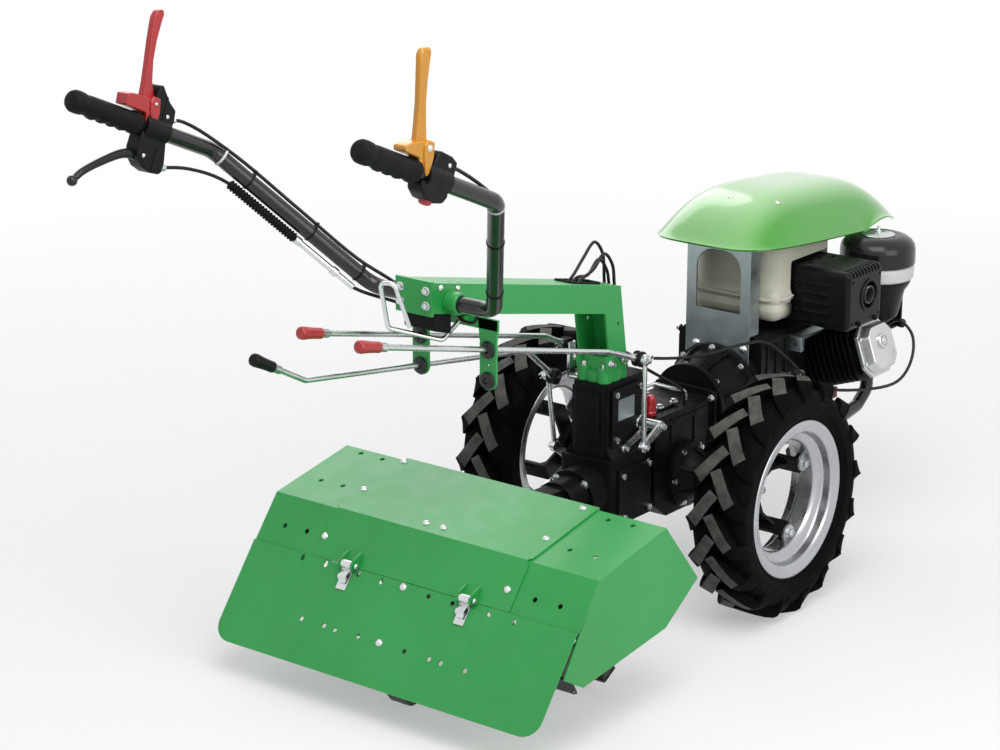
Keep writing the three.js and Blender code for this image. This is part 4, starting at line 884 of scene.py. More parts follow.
class Fasteners:
    """Bolts and nuts, modelled once a size and copied to where they sit."""

    @staticmethod
    def hexagon(across_flats: float, height: float, washer: float = 0.0) -> bpy.types.Object:
        """A hexagon head with a domed top, on a washer if that has a radius, all in millimetres."""
        foot = 1.2 if washer else 0.0
        corner = across_flats / math.sqrt(3) * MM
        head = Bench.slab("hexagon", [Vector((x, y, foot * MM)) for x, y in ring(corner, 6)], Z * height * MM, 0.5)
        Bench.edit(head, False)
        crown = Bench.turned(
            "crown",
            [
                (0, foot + height + 0.5), (across_flats * 0.36, foot + height + 0.35),
                (across_flats * 0.47, foot + height - 0.3), (across_flats * 0.3, foot + height - 1),
                (0, foot + height - 1)
            ],
            Vector(), Z, 18
        )
        parts = [head, Bench.smooth(crown)]
        if washer:
            parts.append(
                Bench.turned(
                    "washer", [(0, 0), (washer, 0), (washer, foot * 0.8), (washer - 0.4, foot), (0, foot)], Vector(),
                    Z, 24
                )
            )
        return Bench.merged("bolt", *parts)

    @staticmethod
    def dome(radius: float, height: float) -> bpy.types.Object:
        """A round-headed bolt, in millimetres."""
        profile = [
            (0, height), (radius * 0.45, height * 0.92), (radius * 0.8, height * 0.6), (radius, height * 0.12),
            (radius, 0), (0, 0)
        ]
        return Bench.smooth(Bench.turned("bolt", profile, Vector(), Z, 24), 60)

    @classmethod
    def set(
        cls, name: str, model: bpy.types.Object, places: list[Matrix], body: Body = Body.CHASSIS,
        finish: Finish = Finishes.ZINC, slot: str = "zinc"
    ) -> bpy.types.Object:
        """Copies a fastener to its places and dresses the set."""
        return dress(Bench.copied(name, model, places), finish, slot, body=body)


# ---------------------------------------------------------------- wheels


@dataclass
class Wheel:
    """One driven wheel on its axle: tyre with chevron lugs, steel rim, spider and hub."""

    side: Side
    radius: float = 222.0
    track: float = 261.0
    height: float = 222.0
    lugs: int = 17
    tab_face: float = 263.0
    arm_angles: tuple[float, ...] = (25.0, 115.0, 205.0, 295.0)
    hub_face: float = 186.0

    @property
    def sign(self) -> int:
        """+1 on the left, -1 on the right."""
        return self.side.value

    @property
    def body(self) -> Body:
        """The moving group of this wheel."""
        return Body.WHEEL_LEFT if self.side is Side.LEFT else Body.WHEEL_RIGHT

    def named(self, piece: str) -> str:
        """A piece's name with the side in it."""
        return f"{piece}_{self.side.word}"

    def turn(self, degrees: float) -> Matrix:
        """A turn about the axle that carries the top towards the front."""
        centre = Matrix.Translation(mm(0, 0, self.height))
        return centre @ Matrix.Rotation(math.radians(degrees), 4, "Y") @ centre.inverted()

    def carcass(self) -> bpy.types.Object:
        """The tyre's body with its shoulders, sidewall rings and bead."""
        half = [(127.7, 41.1), (141.3, 41.1), (145, 46.4), (149.5, 47.6), (151, 49.6), (153.5, 48.9), (160, 52.4),
                (163, 53.4), (164.6, 54.8), (166.6, 54.2), (176, 55.9), (184, 55.6), (191, 53.6), (197, 49),
                (200.5, 42), (202.6, 28), (203.4, 0)]
        profile = half + [(r, -y) for r, y in reversed(half[:-1])] + [half[0]]
        tyre = Bench.turned(self.named("tyre_carcass"), profile, mm(0, self.sign * self.track, self.height), Y, 96)
        return Bench.smooth(tyre, 40)

    def lug(self) -> bpy.types.Object:
        """One tread bar from the middle of the tread over the shoulder, at the top of the tyre's outer half."""
        stations = [
            (42, -4, 11.2, 222.0, 57), (27, 7, 11.4, 222.2, 57), (11, 17.5, 11.8, 222.2, 56),
            (-4, 27.5, 12.2, 221.8, 54), (-17, 37.5, 13.0, 220.4, 48), (-25, 46.0, 14.2, 215.5, 34),
            (-29, 52.8, 15.6, 206.5, 14), (-31, 57.0, 16.2, 196.0, 3), (-31, 57.6, 15.6, 185.0, 0)
        ]
        columns, depth = 4, 0.021
        Bench.clear()
        bpy.ops.mesh.primitive_grid_add(x_subdivisions=len(stations) - 1, y_subdivisions=columns, size=1)
        lug = bpy.context.object
        for vertex in lug.data.vertices:
            s, y, half, r, slant = stations[round((vertex.co.x + 0.5) * (len(stations) - 1))]
            share = vertex.co.y * 2
            angle = math.radians(slant)
            s, y = s + share * half * math.cos(angle), y + share * half * math.sin(angle)
            turned = s / self.radius
            vertex.co = mm(r * math.sin(turned), y, r * math.cos(turned))
        Bench.edit(lug)
        bpy.ops.mesh.normals_make_consistent(inside=False)
        bpy.ops.mesh.extrude_region_shrink_fatten(TRANSFORM_OT_shrink_fatten={"value": -depth})
        bpy.ops.mesh.select_all(action="SELECT")
        bpy.ops.mesh.normals_make_consistent(inside=False)
        Bench.settle(lug)
        return Bench.round(lug, 2.6, 2, 40)

    def tread(self) -> bpy.types.Object:
        """All the tread bars, the two halves set half a pitch apart."""
        pitch = 360 / self.lugs
        model = self.lug()
        outer = Matrix.Translation(Vector((0, self.sign * self.track, self.height)) * MM)
        flip = Matrix.Diagonal((1, -1, 1, 1))
        places = []
        for k in range(self.lugs):
            places.append(self.turn(k * pitch) @ outer)
            places.append(self.turn((k + 0.5) * pitch) @ outer @ flip)
        return Bench.copied(self.named("tyre_lugs"), model, places)

    def tyre(self) -> None:
        """Builds and dresses the tyre."""
        tyre = Bench.merged(self.named("tyre_tread"), self.carcass(), self.tread())
        dress(tyre, Finishes.TYRE, "tyre", self.named("tyre"), body=self.body)
        centre = mm(0, self.sign * self.track, self.height)

        def worn(at: Vector, normal: Vector) -> bool:
            """Whether a face lies on top of a bar."""
            out = Vector((at.x - centre.x, 0, at.z - centre.z))
            return out.length > 0.2180 and normal.dot(out.normalized()) > 0.93

        Bench.paint(tyre, Finishes.LUG_FACE, worn)

    def rim(self) -> None:
        """The rolled steel rim with the tabs that the spider bolts to."""
        half = [(146.0, 42.2), (147.4, 45.2), (145.4, 47.6), (141.5, 47.4), (132.0, 44.6), (127.8, 43.6),
            (124.9, 41.4), (124.4, 36.0), (123.6, 27.0),
                (121.0, 24.0), (110.0, 19.6), (106.6, 17.6), (105.0, 14.0), (105.0, 0.0)]
        line = half + [(r, -y) for r, y in reversed(half[:-1])]
        at = mm(0, self.sign * self.track, self.height)
        out = [at + Z * r * MM + Y * y * MM for r, y in line]
        shell = Bench.turned(
            "rim_shell", [((p - at).z / MM, (p - at).y / MM) for p in filleted(out, 5.0, 4)], at, Y, 96
        )
        Bench.modify(shell, "SOLIDIFY", thickness=2.6 * MM, offset=0.0)
        Bench.smooth(shell, 50)
        y0 = self.sign * self.tab_face
        outline = [
            mm(x, y0, self.height + z)
            for x, z in [(106, -19), (106, 19), (92, 17), (84, 13), (79, 6), (79, -6), (84, -13), (92, -17)]
        ]
        tab = Bench.slab("rim_tab", outline, Y * self.sign * 5 * MM, 1.0)
        tabs = Bench.copied("rim_tabs", tab, [self.turn(-angle) for angle in self.arm_angles])
        dress(
            Bench.merged(self.named("rim_shell"), shell, tabs), Finishes.SILVER, "silver_rim", self.named("rim"),
            body=self.body
        )

    def spider(self) -> None:
        """The hub, its shaft and the four bent arms, with their bolts."""
        s, out = self.sign, self.hub_face + 22
        at = mm(0, 0, self.height)
        hub = Bench.turned(
            "hub",
            [
                (0, s * self.hub_face), (46, s * self.hub_face), (46, s * (out - 6)), (43, s * (out - 2)),
                (30, s * out), (30, s * (out + 6)), (17, s * (out + 6)), (17, s * (out + 2)), (0, s * (out + 2))
            ],
            at, Y, 64, 1.0
        )
        shaft = Bench.turned(
            "shaft", [(0, s * 134), (16, s * 134), (16, s * 212), (13, s * 216), (0, s * 216)], at, Y, 40, 0.6
        )
        line = [
            (32, out - 8), (32, out), (78, out), (80, out + 2), (80, 262.7), (100, 262.7), (100, 254.7), (89, 254.7),
            (88, 253), (88, out - 6), (86, out - 8)
        ]
        bent = Bench.slab("arm", [mm(r, s * y, self.height - 17) for r, y in line], Z * 34 * MM, 1.4)
        rib = Bench.slab(
            "arm_rib", [mm(r, s * y, self.height - 3) for r, y in [(46, out - 1), (79, out - 1), (79, 240)]],
            Z * 6 * MM, 0.8
        )
        arms = Bench.copied("arms", Bench.merged("arm", bent, rib), [self.turn(-angle) for angle in self.arm_angles])
        dress(
            Bench.merged(self.named("wheel_spider"), hub, shaft, arms), Finishes.POWDER, "black_steel",
            self.named("wheel_hub"), body=self.body
        )
        outward = Y * s
        rim_bolt = facing(mm(92, s * 268.2, self.height), outward)
        places = [self.turn(-angle) @ rim_bolt for angle in self.arm_angles]
        inner = [
            self.turn(-angle - 45) @ facing(mm(36.5, s * (out - 0.6), self.height), outward)
            for angle in self.arm_angles
        ]
        Fasteners.set(self.named("wheel_bolts"), Fasteners.hexagon(13, 6, 9.5), places + inner, self.body)
        nuts = [self.turn(-angle) @ facing(mm(92, s * 254.6, self.height), -outward) for angle in self.arm_angles]
        Fasteners.set(self.named("wheel_nuts"), Fasteners.hexagon(13, 8), nuts, self.body)

    def housing(self) -> None:
        """The axle housing between the gearbox and the wheel, fixed to the chassis."""
        s = self.sign
        profile = [
            (17.2, 168), (17.2, 136), (0.1, 136), (0.1, 62.4), (62, 62.4), (62, 76), (52, 82), (44, 92), (40, 104),
            (38, 120), (38, 150), (46, 154), (46, 168), (30, 168), (29, 165), (19, 165), (19, 168), (17.2, 168)
        ]
        tube = Bench.turned(
            self.named("axle_tube"), [(r, s * y) for r, y in profile], mm(0, 0, self.height), Y, 64, 1.2
        )
        fin = Bench.slab(
            "fin", [mm(x, s * y, self.height - 3) for x, y in [(36, 76), (57, 76), (37, 118), (36, 118)]], Z * 6 * MM,
            1.2
        )
        fins = Bench.copied("fins", fin, [self.turn(30 + 60 * k) for k in range(6)])
        dress(
            Bench.merged(self.named("axle_tube"), tube, fins), Finishes.CASTING, "gearbox_aluminium",
            self.named("axle_housing")
        )
        flange = [self.turn(60 * k) @ facing(mm(54, s * 75.6, self.height), Y * s) for k in range(6)]
        Fasteners.set(self.named("axle_bolts"), Fasteners.hexagon(10, 6, 8), flange)

    def build(self) -> None:
        """Builds the whole wheel."""
        self.tyre()
        self.rim()
        self.spider()
        self.housing()


# ---------------------------------------------------------------- tiller


@dataclass
class TillerHood:
    """The folded green hood over the rotor, its side pieces, hinged rear flap and depth skid."""

    front: tuple[float, float] = (-483.0, 323.0)
    ridge: tuple[float, float] = (-678.0, 286.0)
    rear: tuple[float, float] = (-736.0, 213.0)
    end: tuple[float, float] = (-850.0, 64.0)
    seam: float = 211.0
    hinge_y: float = 128.0
    hinge_axis: tuple[float, float] = (-743.148, 218.469)

    def frame_of(self, start: tuple[float, float], stop: tuple[float, float]) -> tuple[Vector, Vector, Vector]:
        """A plane of the hood: its upper edge, the way down it and the way out of it."""
        down = Vector((stop[0] - start[0], 0, stop[1] - start[1])).normalized()
        out = Vector((down.z, 0, -down.x))
        out = out if out.z > 0 else -out
        return mm(start[0], 0, start[1]), down, out

    def spot(self, plane: tuple[Vector, Vector, Vector], down: float, y: float, out: float = 0.0) -> Vector:
        """A point on a plane by its distance down it, its place across and its height over it, in millimetres."""
        start, run, lift = plane
        return start + run * down * MM + Y * y * MM + lift * out * MM

    def holes(
        self, obj: bpy.types.Object, plane: tuple[Vector, Vector, Vector], spots: list[tuple[float, float]],
        radius: float = 4.6
    ) -> None:
        """Drills round holes through a sheet."""
        drills = Bench.turned("drill", [(0, -14), (radius, -14), (radius, 14), (0, 14)], Vector(), Z, 20)
        places = [facing(self.spot(plane, d, y), plane[2]) for d, y in spots]
        Bench.cut(obj, Bench.copied("drills", drills, places))

    def sheets(self) -> None:
        """The centre sheet and the two side pieces."""
        top = self.frame_of(self.front, self.ridge)
        back = self.frame_of(self.ridge, self.rear)
        centre = Bench.refined("hood_center", 0.0)
        self.corner_cuts(centre)
        dress(Bench.round(centre, 0.7, 2), Finishes.GREEN, "green_paint")
        sides = {
            Side.LEFT: ([(18, 305), (19, 254), (130, 304), (129, 254)], [(56, 301), (55, 251)]),
            Side.RIGHT: ([(24, -245), (22, -294), (136, -246), (136, -298)], [(60, -247), (59, -298)]),
        }
        for side, (upper, lower) in sides.items():
            sheet = Bench.refined(f"hood_side_{side.word}", 0.0)
            self.holes(sheet, top, upper)
            self.holes(sheet, back, lower)
            dress(Bench.round(sheet, 0.7, 2), Finishes.GREEN, "green_paint")
        spots = [
            self.spot(top, d, y, 0.1)
            for d, y in [(13, 208), (126, 207), (14, -186), (127, -191), (174, 28), (174, -9)]
        ]
        rear_spots = [self.spot(back, d, y, 0.1) for d, y in [(55, 207), (57, -191)]]
        places = [
            facing(p, top[2], 17 * k) for k, p in enumerate(spots)
        ] + [facing(p, back[2], 23) for p in rear_spots]
        Fasteners.set("hood_bolts", Fasteners.dome(6.6, 4.2), places)
        nuts = [
            facing(self.spot(top, d, y, -6.4), -top[2]) for d, y in [(13, 208), (126, 207), (14, -186), (127, -191)]
        ]
        Fasteners.set("hood_nuts", Fasteners.hexagon(10, 6, 9), nuts)

    def corner_cuts(self, sheet: bpy.types.Object) -> None:
        """Cuts the small relief notches at the ends of the ridge bend."""
        model = Bench.turned("notch", [(0, -20), (5.5, -20), (5.5, 20), (0, 20)], Vector(), Z, 20)
        places = [facing(mm(self.ridge[0], s * self.seam, self.ridge[1]), Vector((-0.5, 0, 0.86))) for s in (-1, 1)]
        Bench.cut(sheet, Bench.copied("notches", model, places))

    def flap(self) -> None:
        """The rear flap with its holes, bolts, hinges and clips."""
        plane = self.frame_of(self.rear, self.end)
        flap = Bench.refined("rear_flap", 0.0)
        rows = [
            (10, 233), (10, 181), (10, 107), (11, 56), (12, -48), (12, -99), (12, -176), (13, -228), (111, 183),
            (111, 132), (112, 107), (111, 56), (112, -45), (112, -98), (113, -123), (113, -174)
        ]
        self.holes(flap, plane, rows, 4.4)
        for vertex in flap.data.vertices:
            if (vertex.co - plane[0]).dot(plane[1]) < 7 * MM:
                vertex.co -= plane[1] * 3.2 * MM
        dress(Bench.round(flap, 0.7, 2), Finishes.GREEN, "green_paint", body=Body.FLAP)
        bolts = [facing(self.spot(plane, d, y, 0.1), plane[2], 31 * d) for d, y in [(9, 8), (111, 10)]]
        Fasteners.set("flap_bolts", Fasteners.dome(7.0, 4.4), bolts, Body.FLAP)
        for side in Side:
            hinge = Bench.refined(f"flap_hinge_{side.word}", 0.6)
            dress(hinge, Finishes.GREEN, "green_paint")
            clip = Bench.refined(f"flap_clip_{side.word}", 0.6)
            dress(clip, Finishes.ZINC, "zinc", body=Body.FLAP)
            self.latch(side, plane)

    def latch(self, side: Side, plane: tuple[Vector, Vector, Vector]) -> None:
        """The spring tongue and bolt on one clip, and the heads of its hinge pin."""
        y = side.value * self.hinge_y
        tongue = [
            self.spot(plane, d, y - 7, o)
            for d, o in [
                (4, 3.2), (4, 5.4), (14, 9.5), (22, 11.5), (28, 7.5), (33, 7.5), (33, 5.2), (27, 5.2), (21, 9.0),
                (14, 7.0), (7, 3.2)
            ]
        ]
        spring = Bench.slab(f"flap_latch_{side.word}", tongue, Y * 14 * MM, 0.5)
        dress(spring, Finishes.ZINC, "zinc", body=Body.FLAP)
        Fasteners.set(
            f"flap_clip_bolt_{side.word}", Fasteners.hexagon(8, 4, 6.5),
            [facing(self.spot(plane, 22, y + 8.5, 3.2), plane[2], 12)], Body.FLAP
        )
        ends = [facing(mm(self.hinge_axis[0], y + e * 18.6, self.hinge_axis[1]), Y * e) for e in (-1, 1)]
        Fasteners.set(f"flap_pin_heads_{side.word}", Fasteners.dome(5.6, 2.4), ends)

    def build(self) -> None:
        """Builds the hood."""
        self.sheets()
        self.flap()
        dress(Bench.refined("depth_skid", 1.2), Finishes.STEEL, "black_steel")
        dress(Bench.refined("hood_bracket", 1.0), Finishes.POWDER, "tiller_iron")


@dataclass
class Rotor:
    """The tiller's shaft with its sets of curved blades, and the gearcase that drives it."""

    x: float = -565.0
    z: float = 150.0
    rows: tuple[float, ...] = (76.0, 166.0, 256.0)

    def blade(self, side: int) -> bpy.types.Object:
        """One blade that runs out along +Z and turns over to one side at its tip.

        Args:
            side: +1 for a blade whose foot points to the left.

        Returns:
            The blade, its root on the shaft's centre line at the origin.
        """
        y = side * 8
        shank = [
            Vector((x * MM, y * MM, z * MM))
            for x, z in [(-13, 20), (13, 20), (13, 96), (18, 118), (20, 133), (-13, 133), (-13, 60)]
        ]
        plate = Bench.slab("shank", shank, Y * side * -4 * MM, 1.0)
        foot_line = [(4, 133), (8, 136), (46, 136), (50, 133), (50, 130), (8, 129), (4, 126)]
        foot = Bench.slab("foot", [Vector((-13 * MM, side * w * MM, h * MM)) for w, h in foot_line], X * 34 * MM, 1.4)
        return Bench.merged("blade", plate, foot)

    def build(self) -> None:
        """Builds the rotor and its gearcase."""
        shaft = Bench.turned(
            "rotor_shaft", [(0, -268), (17, -268), (17, 268), (0, 268)], mm(self.x, 0, self.z), Y, 40, 1.2
        )
        flange = Bench.turned("flange", [(17, -4), (44, -4), (44, 4), (17, 4), (17, -4)], Vector(), Y, 48, 0.8)
        rows = [s * row for row in self.rows for s in (1, -1)]
        flanges = Bench.copied("flanges", flange, [Matrix.Translation(mm(self.x, y, self.z)) for y in rows])
        parts = [shaft, flanges]
        bolts = []
        blades = {s: self.blade(s) for s in (1, -1)}
        spots: dict[int, list[Matrix]] = {1: [], -1: []}
        for i, row in enumerate(self.rows):
            for s in (1, -1):
                phase = (60 if s > 0 else 90) + 30 * i
                for k in range(4):
                    side = 1 if k % 2 else -1
                    turned = Matrix.Translation(mm(self.x, s * row, self.z)) @ Matrix.Rotation(
                        math.radians(phase + 90 * k + 90), 4, "Y"
                    )
                    spots[side].append(turned)
                    for height in (28, 38):
                        bolts.append(turned @ facing(Vector((0, side * 8 * MM, height * MM)), Y * side))
        for s, places in spots.items():
            parts.append(Bench.copied(f"blades_{s + 1}", blades[s], places))
        dress(Bench.merged("rotor_blades", *parts), Finishes.STEEL, "rotor_steel", "tiller_rotor", body=Body.ROTOR)
        Fasteners.set("rotor_bolts", Fasteners.hexagon(10, 5), bolts, Body.ROTOR)
        dress(Bench.refined("tiller_gearcase", 2.4, 3), Finishes.CASTING, "tiller_iron")
        round_bolts = [
            facing(mm(self.x + dx, s * 20.0, self.z + dz), Y * s)
            for dx, dz in ((46, 38), (96, 60), (150, 62), (46, -30), (110, 2)) for s in (1, -1)
        ]
        Fasteners.set("gearcase_bolts", Fasteners.hexagon(10, 5, 8), round_bolts)
        flange_bolts = [facing(mm(-278.4, y, 236 + z), X * -1) for y, z in ring(44, 4, math.pi / 4)]
        Fasteners.set("pto_bolts", Fasteners.hexagon(10, 6, 8), flange_bolts)


# ---------------------------------------------------------------- gearbox


@dataclass
class Gearbox:
    """The cast gear tower, transmission case and clutch housing, with their bolts and fittings."""

    bell_rear: float = 96.3
    bell_front: float = 192.7
    crank_z: float = 320.0

    def castings(self) -> None:
        """The tower and the case with their ribs."""
        tower = Bench.refined("gear_tower", 3.0, 3)
        ribs = [block("rib", mm(-222, s * 36 - 3, 300), mm(-218, s * 36 + 3, 430), 1.0) for s in (1, -1)]
        pad = block("pad", mm(-229, -26, 336), mm(-225, 26, 424), 1.4)
        sides = [block("side_pad", mm(-208, s * 38 - 3.2, 318), mm(-116, s * 38 + 0.6, 428), 2.4) for s in (1, -1)]
        lower = [block("foot_pad", mm(-214, s * 59.5 - 3, 176), mm(-112, s * 59.5 + 1.6, 282), 3.0) for s in (1, -1)]
        dress(Bench.merged("tower_casting", tower, *ribs, pad, *sides, *lower), Finishes.CASTING, "gearbox_aluminium")
        case = Bench.refined("transmission_case", 3.0, 3)
        bars = [
            block("bar", mm(x, s * 62 - 2, 176), mm(x + 7, s * 62 + 3.4, 340), 1.6) for x in (-52, 24)
            for s in (1, -1)
        ]
        rail = [block("rail", mm(-96, s * 62 - 2, 328), mm(70, s * 62 + 3.0, 337), 1.2) for s in (1, -1)]
        lid = block("lid", mm(-94, -38, 349.5), mm(10, 38, 353.6), 1.6)
        dress(Bench.merged("case_casting", case, *bars, *rail, lid), Finishes.CASTING, "gearbox_aluminium")

    def bell(self) -> None:
        """The clutch housing between case and engine."""
        rear, front = self.bell_rear, self.bell_front
        profile = [
            (0, rear), (78, rear), (78, rear + 12), (70, rear + 16), (72, rear + 30), (84, rear + 52),
            (88, rear + 68), (88, front - 16), (98, front - 13), (98, front), (0, front)
        ]
        shell = Bench.turned("bell_shell", profile, mm(0, 0, self.crank_z), X, 72, 1.6)
        fin = Bench.slab(
            "bell_fin",
            [
                mm(rear + a, -3, self.crank_z + b)
                for a, b in [(14, 68), (14, 76), (60, 94), (84, 96), (84, 80), (40, 68)]
            ],
            Y * 6 * MM, 1.4
        )
        fins = Bench.copied("bell_fins", fin, around(mm(0, 0, self.crank_z), "X", 8, 0.39))
        dress(Bench.merged("clutch_housing", shell, fins), Finishes.CASTING, "gearbox_aluminium", "bell_housing")
        far = [facing(mm(front - 14.4, y, self.crank_z + z), X * -1) for y, z in ring(92, 8)]
        near = [facing(mm(rear + 12.4, y, self.crank_z + z), X) for y, z in ring(73, 6, 0.3)]
        Fasteners.set("clutch_housing_bolts", Fasteners.hexagon(10, 6, 7), far + near)

    def fittings(self) -> None:
        """Plug, blank plate, bolts, the drilled bar and the shift lever."""
        cap = [(0, 350.3), (11.5, 350.3), (11.5, 356), (9.6, 358), (9.6, 380), (8.2, 385), (5.5, 388), (0, 388.6)]
        plug = Bench.turned("filler_plug", cap, mm(-80, -36, 0), Z, 40, 0.5)
        grip = Bench.slab(
            "plug_rib",
            [mm(-80 + 9.2, -37, z) for z in (361, 361)] + [
                mm(-80 + 10.6, -37, z) for z in (362, 378)
            ] + [mm(-80 + 9.2, -37, 380)],
            Y * 2 * MM
        )
        grips = Bench.copied("plug_ribs", grip, around(mm(-80, -36, 0), "Z", 12))
        dress(Bench.merged("filler_plug", plug, grips), Finishes.RED_PLASTIC, "red_plug", "oil_plug")
        plate = block("blank_plate", mm(-190, -41.4, 366), mm(-140, -38.9, 406), 0.3)
        dress(plate, Finishes.SHEET_ZINC, "zinc")
        right = -Y
        tower = [
            facing(mm(x, -39.0, z), right, 9 * x) for x, z in ((-196, 332), (-124, 340), (-124, 418), (-198, 418))
        ]
        foot = [
            facing(mm(x, -61.3, z), right, 7 * x) for x, z in ((-204, 270), (-122, 274), (-200, 190), (-122, 190))
        ]
        Fasteners.set("tower_bolts", Fasteners.hexagon(11, 6, 8), tower + foot)
        Fasteners.set(
            "tower_bolts_far", Fasteners.hexagon(11, 6, 8),
            [facing(Vector((p.translation.x, -p.translation.y, p.translation.z)), Y) for p in tower + foot]
        )
        lid = [facing(mm(x, y, 353.4), Z, 11 * x) for x in (-88, -42, 4) for y in (-31, 31) if (x, y) != (-88, -31)]
        Fasteners.set("case_bolts", Fasteners.hexagon(10, 5, 8), lid)
        flange = [facing(mm(84.2, s * 62, z), X * -1) for s in (1, -1) for z in (222, 284, 346)]
        Fasteners.set("case_flange_bolts", Fasteners.hexagon(10, 6, 7), flange)
        self.drilled_bar()
        self.shift_lever()

    def drilled_bar(self) -> None:
        """The zinc link with a row of holes on the tower's right side."""
        start, stop = mm(-186, -46, 312), mm(-96, -46, 338)
        run = (stop - start).normalized()
        lift = run.cross(Y)
        corners = [start + lift * 7 * MM, start - lift * 7 * MM, stop - lift * 7 * MM, stop + lift * 7 * MM]
        bar = Bench.slab("drilled_link", corners, -Y * 3 * MM, 0.0)
        drill = Bench.drill(3.1, 8, 16)
        Bench.cut(bar, Bench.copied("drills", drill, [facing(start + run * (12 + 12 * k) * MM, Y) for k in range(6)]))
        dress(Bench.round(bar, 0.5), Finishes.ZINC, "zinc")
        Fasteners.set(
            "drilled_link_bolts", Fasteners.hexagon(10, 8, 8),
            [facing(start + run * 6 * MM - Y * 3 * MM, -Y), facing(stop - run * 6 * MM - Y * 3 * MM, -Y)]
        )
        Fasteners.set(
            "drilled_link_spacers",
            Bench.smooth(Bench.turned("spacer", [(0, 0), (5.5, 0), (5.5, 8), (0, 8)], Vector(), Z, 24)),
            [facing(start + run * 6 * MM + Y * 8 * MM, -Y), facing(stop - run * 6 * MM + Y * 8 * MM, -Y)]
        )

    def shift_lever(self) -> None:
        """The bent lever and swivel on the case's top that the clutch cable works."""
        line = filleted([mm(-66, 6, 354), mm(-66, 6, 386), mm(-30, -6, 392), mm(22, -44, 372), mm(22, -44, 356)], 8)
        rod = Bench.tube("case_lever", line, 4.2, 4)
        foot = Bench.turned("lever_foot", [(0, 0), (11, 0), (11, 6), (7, 9), (0, 9)], mm(-66, 6, 351), Z, 32, 0.5)
        dress(Bench.merged("case_lever", rod, foot), Finishes.ZINC, "zinc")
        Fasteners.set("case_lever_nut", Fasteners.hexagon(10, 7), [facing(mm(-66, 6, 386), Z)])

    def build(self) -> None:
        """Builds the gearbox."""
        self.castings()
        self.bell()
        self.fittings()


# ---------------------------------------------------------------- handlebar column


@dataclass
class Column:
    """The folded beam and post that carry the handlebar, with its clamp, buffer and foot."""

    rear_x: float = -712.0
    rear_top: float = 735.0
    corner_x: float = -180.0
    corner_top: float = 617.0
    depth: float = 52.0
    cross_x: float = -668.0
    cross_z: float = 694.0

    def top(self, x: float) -> float:
        """Height of the beam's top face at a place along it."""
        return self.corner_top + (x - self.corner_x) * (
            self.rear_top - self.corner_top
        ) / (self.rear_x - self.corner_x)

    def beam(self) -> None:
        """The beam and post with their seams and drilled holes."""
        beam = Bench.refined("handlebar_column", 0.0)
        drill = Bench.drill(3.6)
        spots = [facing(mm(x, y, self.top(x) - 2), Z) for x, y in ((-640, -12), (-632, -24))]
        spots += [facing(mm(x, s * 35, z), Y) for x, z in ((-186, 548), (-640, 692)) for s in (1, -1)]
        Bench.cut(beam, Bench.copied("drills", drill, spots))
        Bench.round(beam, 1.3, 3)
        seams = []
        for s in (1, -1):
            line = [mm(-211 + 31 * t, s * 35.0, 567 + 50 * t) for t in (0.0, 0.25, 0.5, 0.75, 1.0)]
            seams.append(Bench.smooth(Bench.tube("seam", line, 1.5, 2), 60))
        dress(Bench.merged("column_beam", beam, *seams), Finishes.GREEN, "green_paint")
        lips = [mm(x, s * 19, self.top(x) + 0.2) for s in (1, -1) for x in (-304, -217)]
        ridge = filleted([lips[0], lips[1], lips[3], lips[2], lips[0] + Vector((0, -0.003, 0))], 10)
        grommet = Bench.tube("slot_edging", [p + Z * 0.0012 for p in ridge], 2.4, 3)
        dress(Bench.smooth(grommet, 60), Finishes.RUBBER, "black_rubber")

    def clamp(self) -> None:
        """The clamp that grips the cross tube, its rear plate, sleeves, buffer and bolts."""
        clamp = Bench.refined("handlebar_clamp", 1.6, 3)
        sleeves = []
        for s in (1, -1):
            profile = [
                (13.9, s * 35.5), (19, s * 35.5), (19, s * 58), (17.5, s * 60), (13.9, s * 60), (13.9, s * 35.5)
            ]
            sleeves.append(Bench.turned("sleeve", profile, mm(self.cross_x, 0, self.cross_z), Y, 40, 0.8))
        dress(Bench.merged("clamp_body", clamp, *sleeves), Finishes.GREEN, "green_paint")
        rear = self.rear_x - 6.4
        bolts = [facing(mm(rear, y, z), X * -1, 13 * z) for y in (27, -27) for z in (722, 697)]
        Fasteners.set("clamp_bolts", Fasteners.hexagon(10, 5, 7.5), bolts)
        side = [facing(mm(x, s * 35.2, z), Y * s) for x, z in ((-690, 722), (-646, 712)) for s in (1, -1)]
        Fasteners.set("clamp_side_bolts", Fasteners.dome(5.6, 3.4), side)
        dress(Bench.refined("column_buffer", 3.0, 3), Finishes.RUBBER, "black_rubber")

    def foot(self) -> None:
        """The turned foot between post and gearbox, with its lugs and bolts."""
        foot = Bench.refined("column_foot", 1.8, 3)
        ears = [block("ear", mm(-218, s * 31 - 5, 462), mm(-198, s * 31 + 5, 492), 3.0) for s in (1, -1)]
        dress(Bench.merged("foot_body", foot, *ears), Finishes.GREEN, "green_paint")
        tops = [facing(mm(-185 + dx, y, 467.2), Z, 20 * dx) for dx in (-24, 24) for y in (-22, 22)]
        sides = [facing(mm(x, s * 36.2, 478), Y * s) for x in (-208, -168) for s in (1, -1)]
        Fasteners.set("foot_bolts", Fasteners.hexagon(10, 7, 8), sides)
        Fasteners.set("foot_stud_nuts", Fasteners.hexagon(11, 7, 9), tops)

    def build(self) -> None:
        """Builds the column."""
        self.beam()
        self.clamp()
        self.foot()


# ---------------------------------------------------------------- handlebar


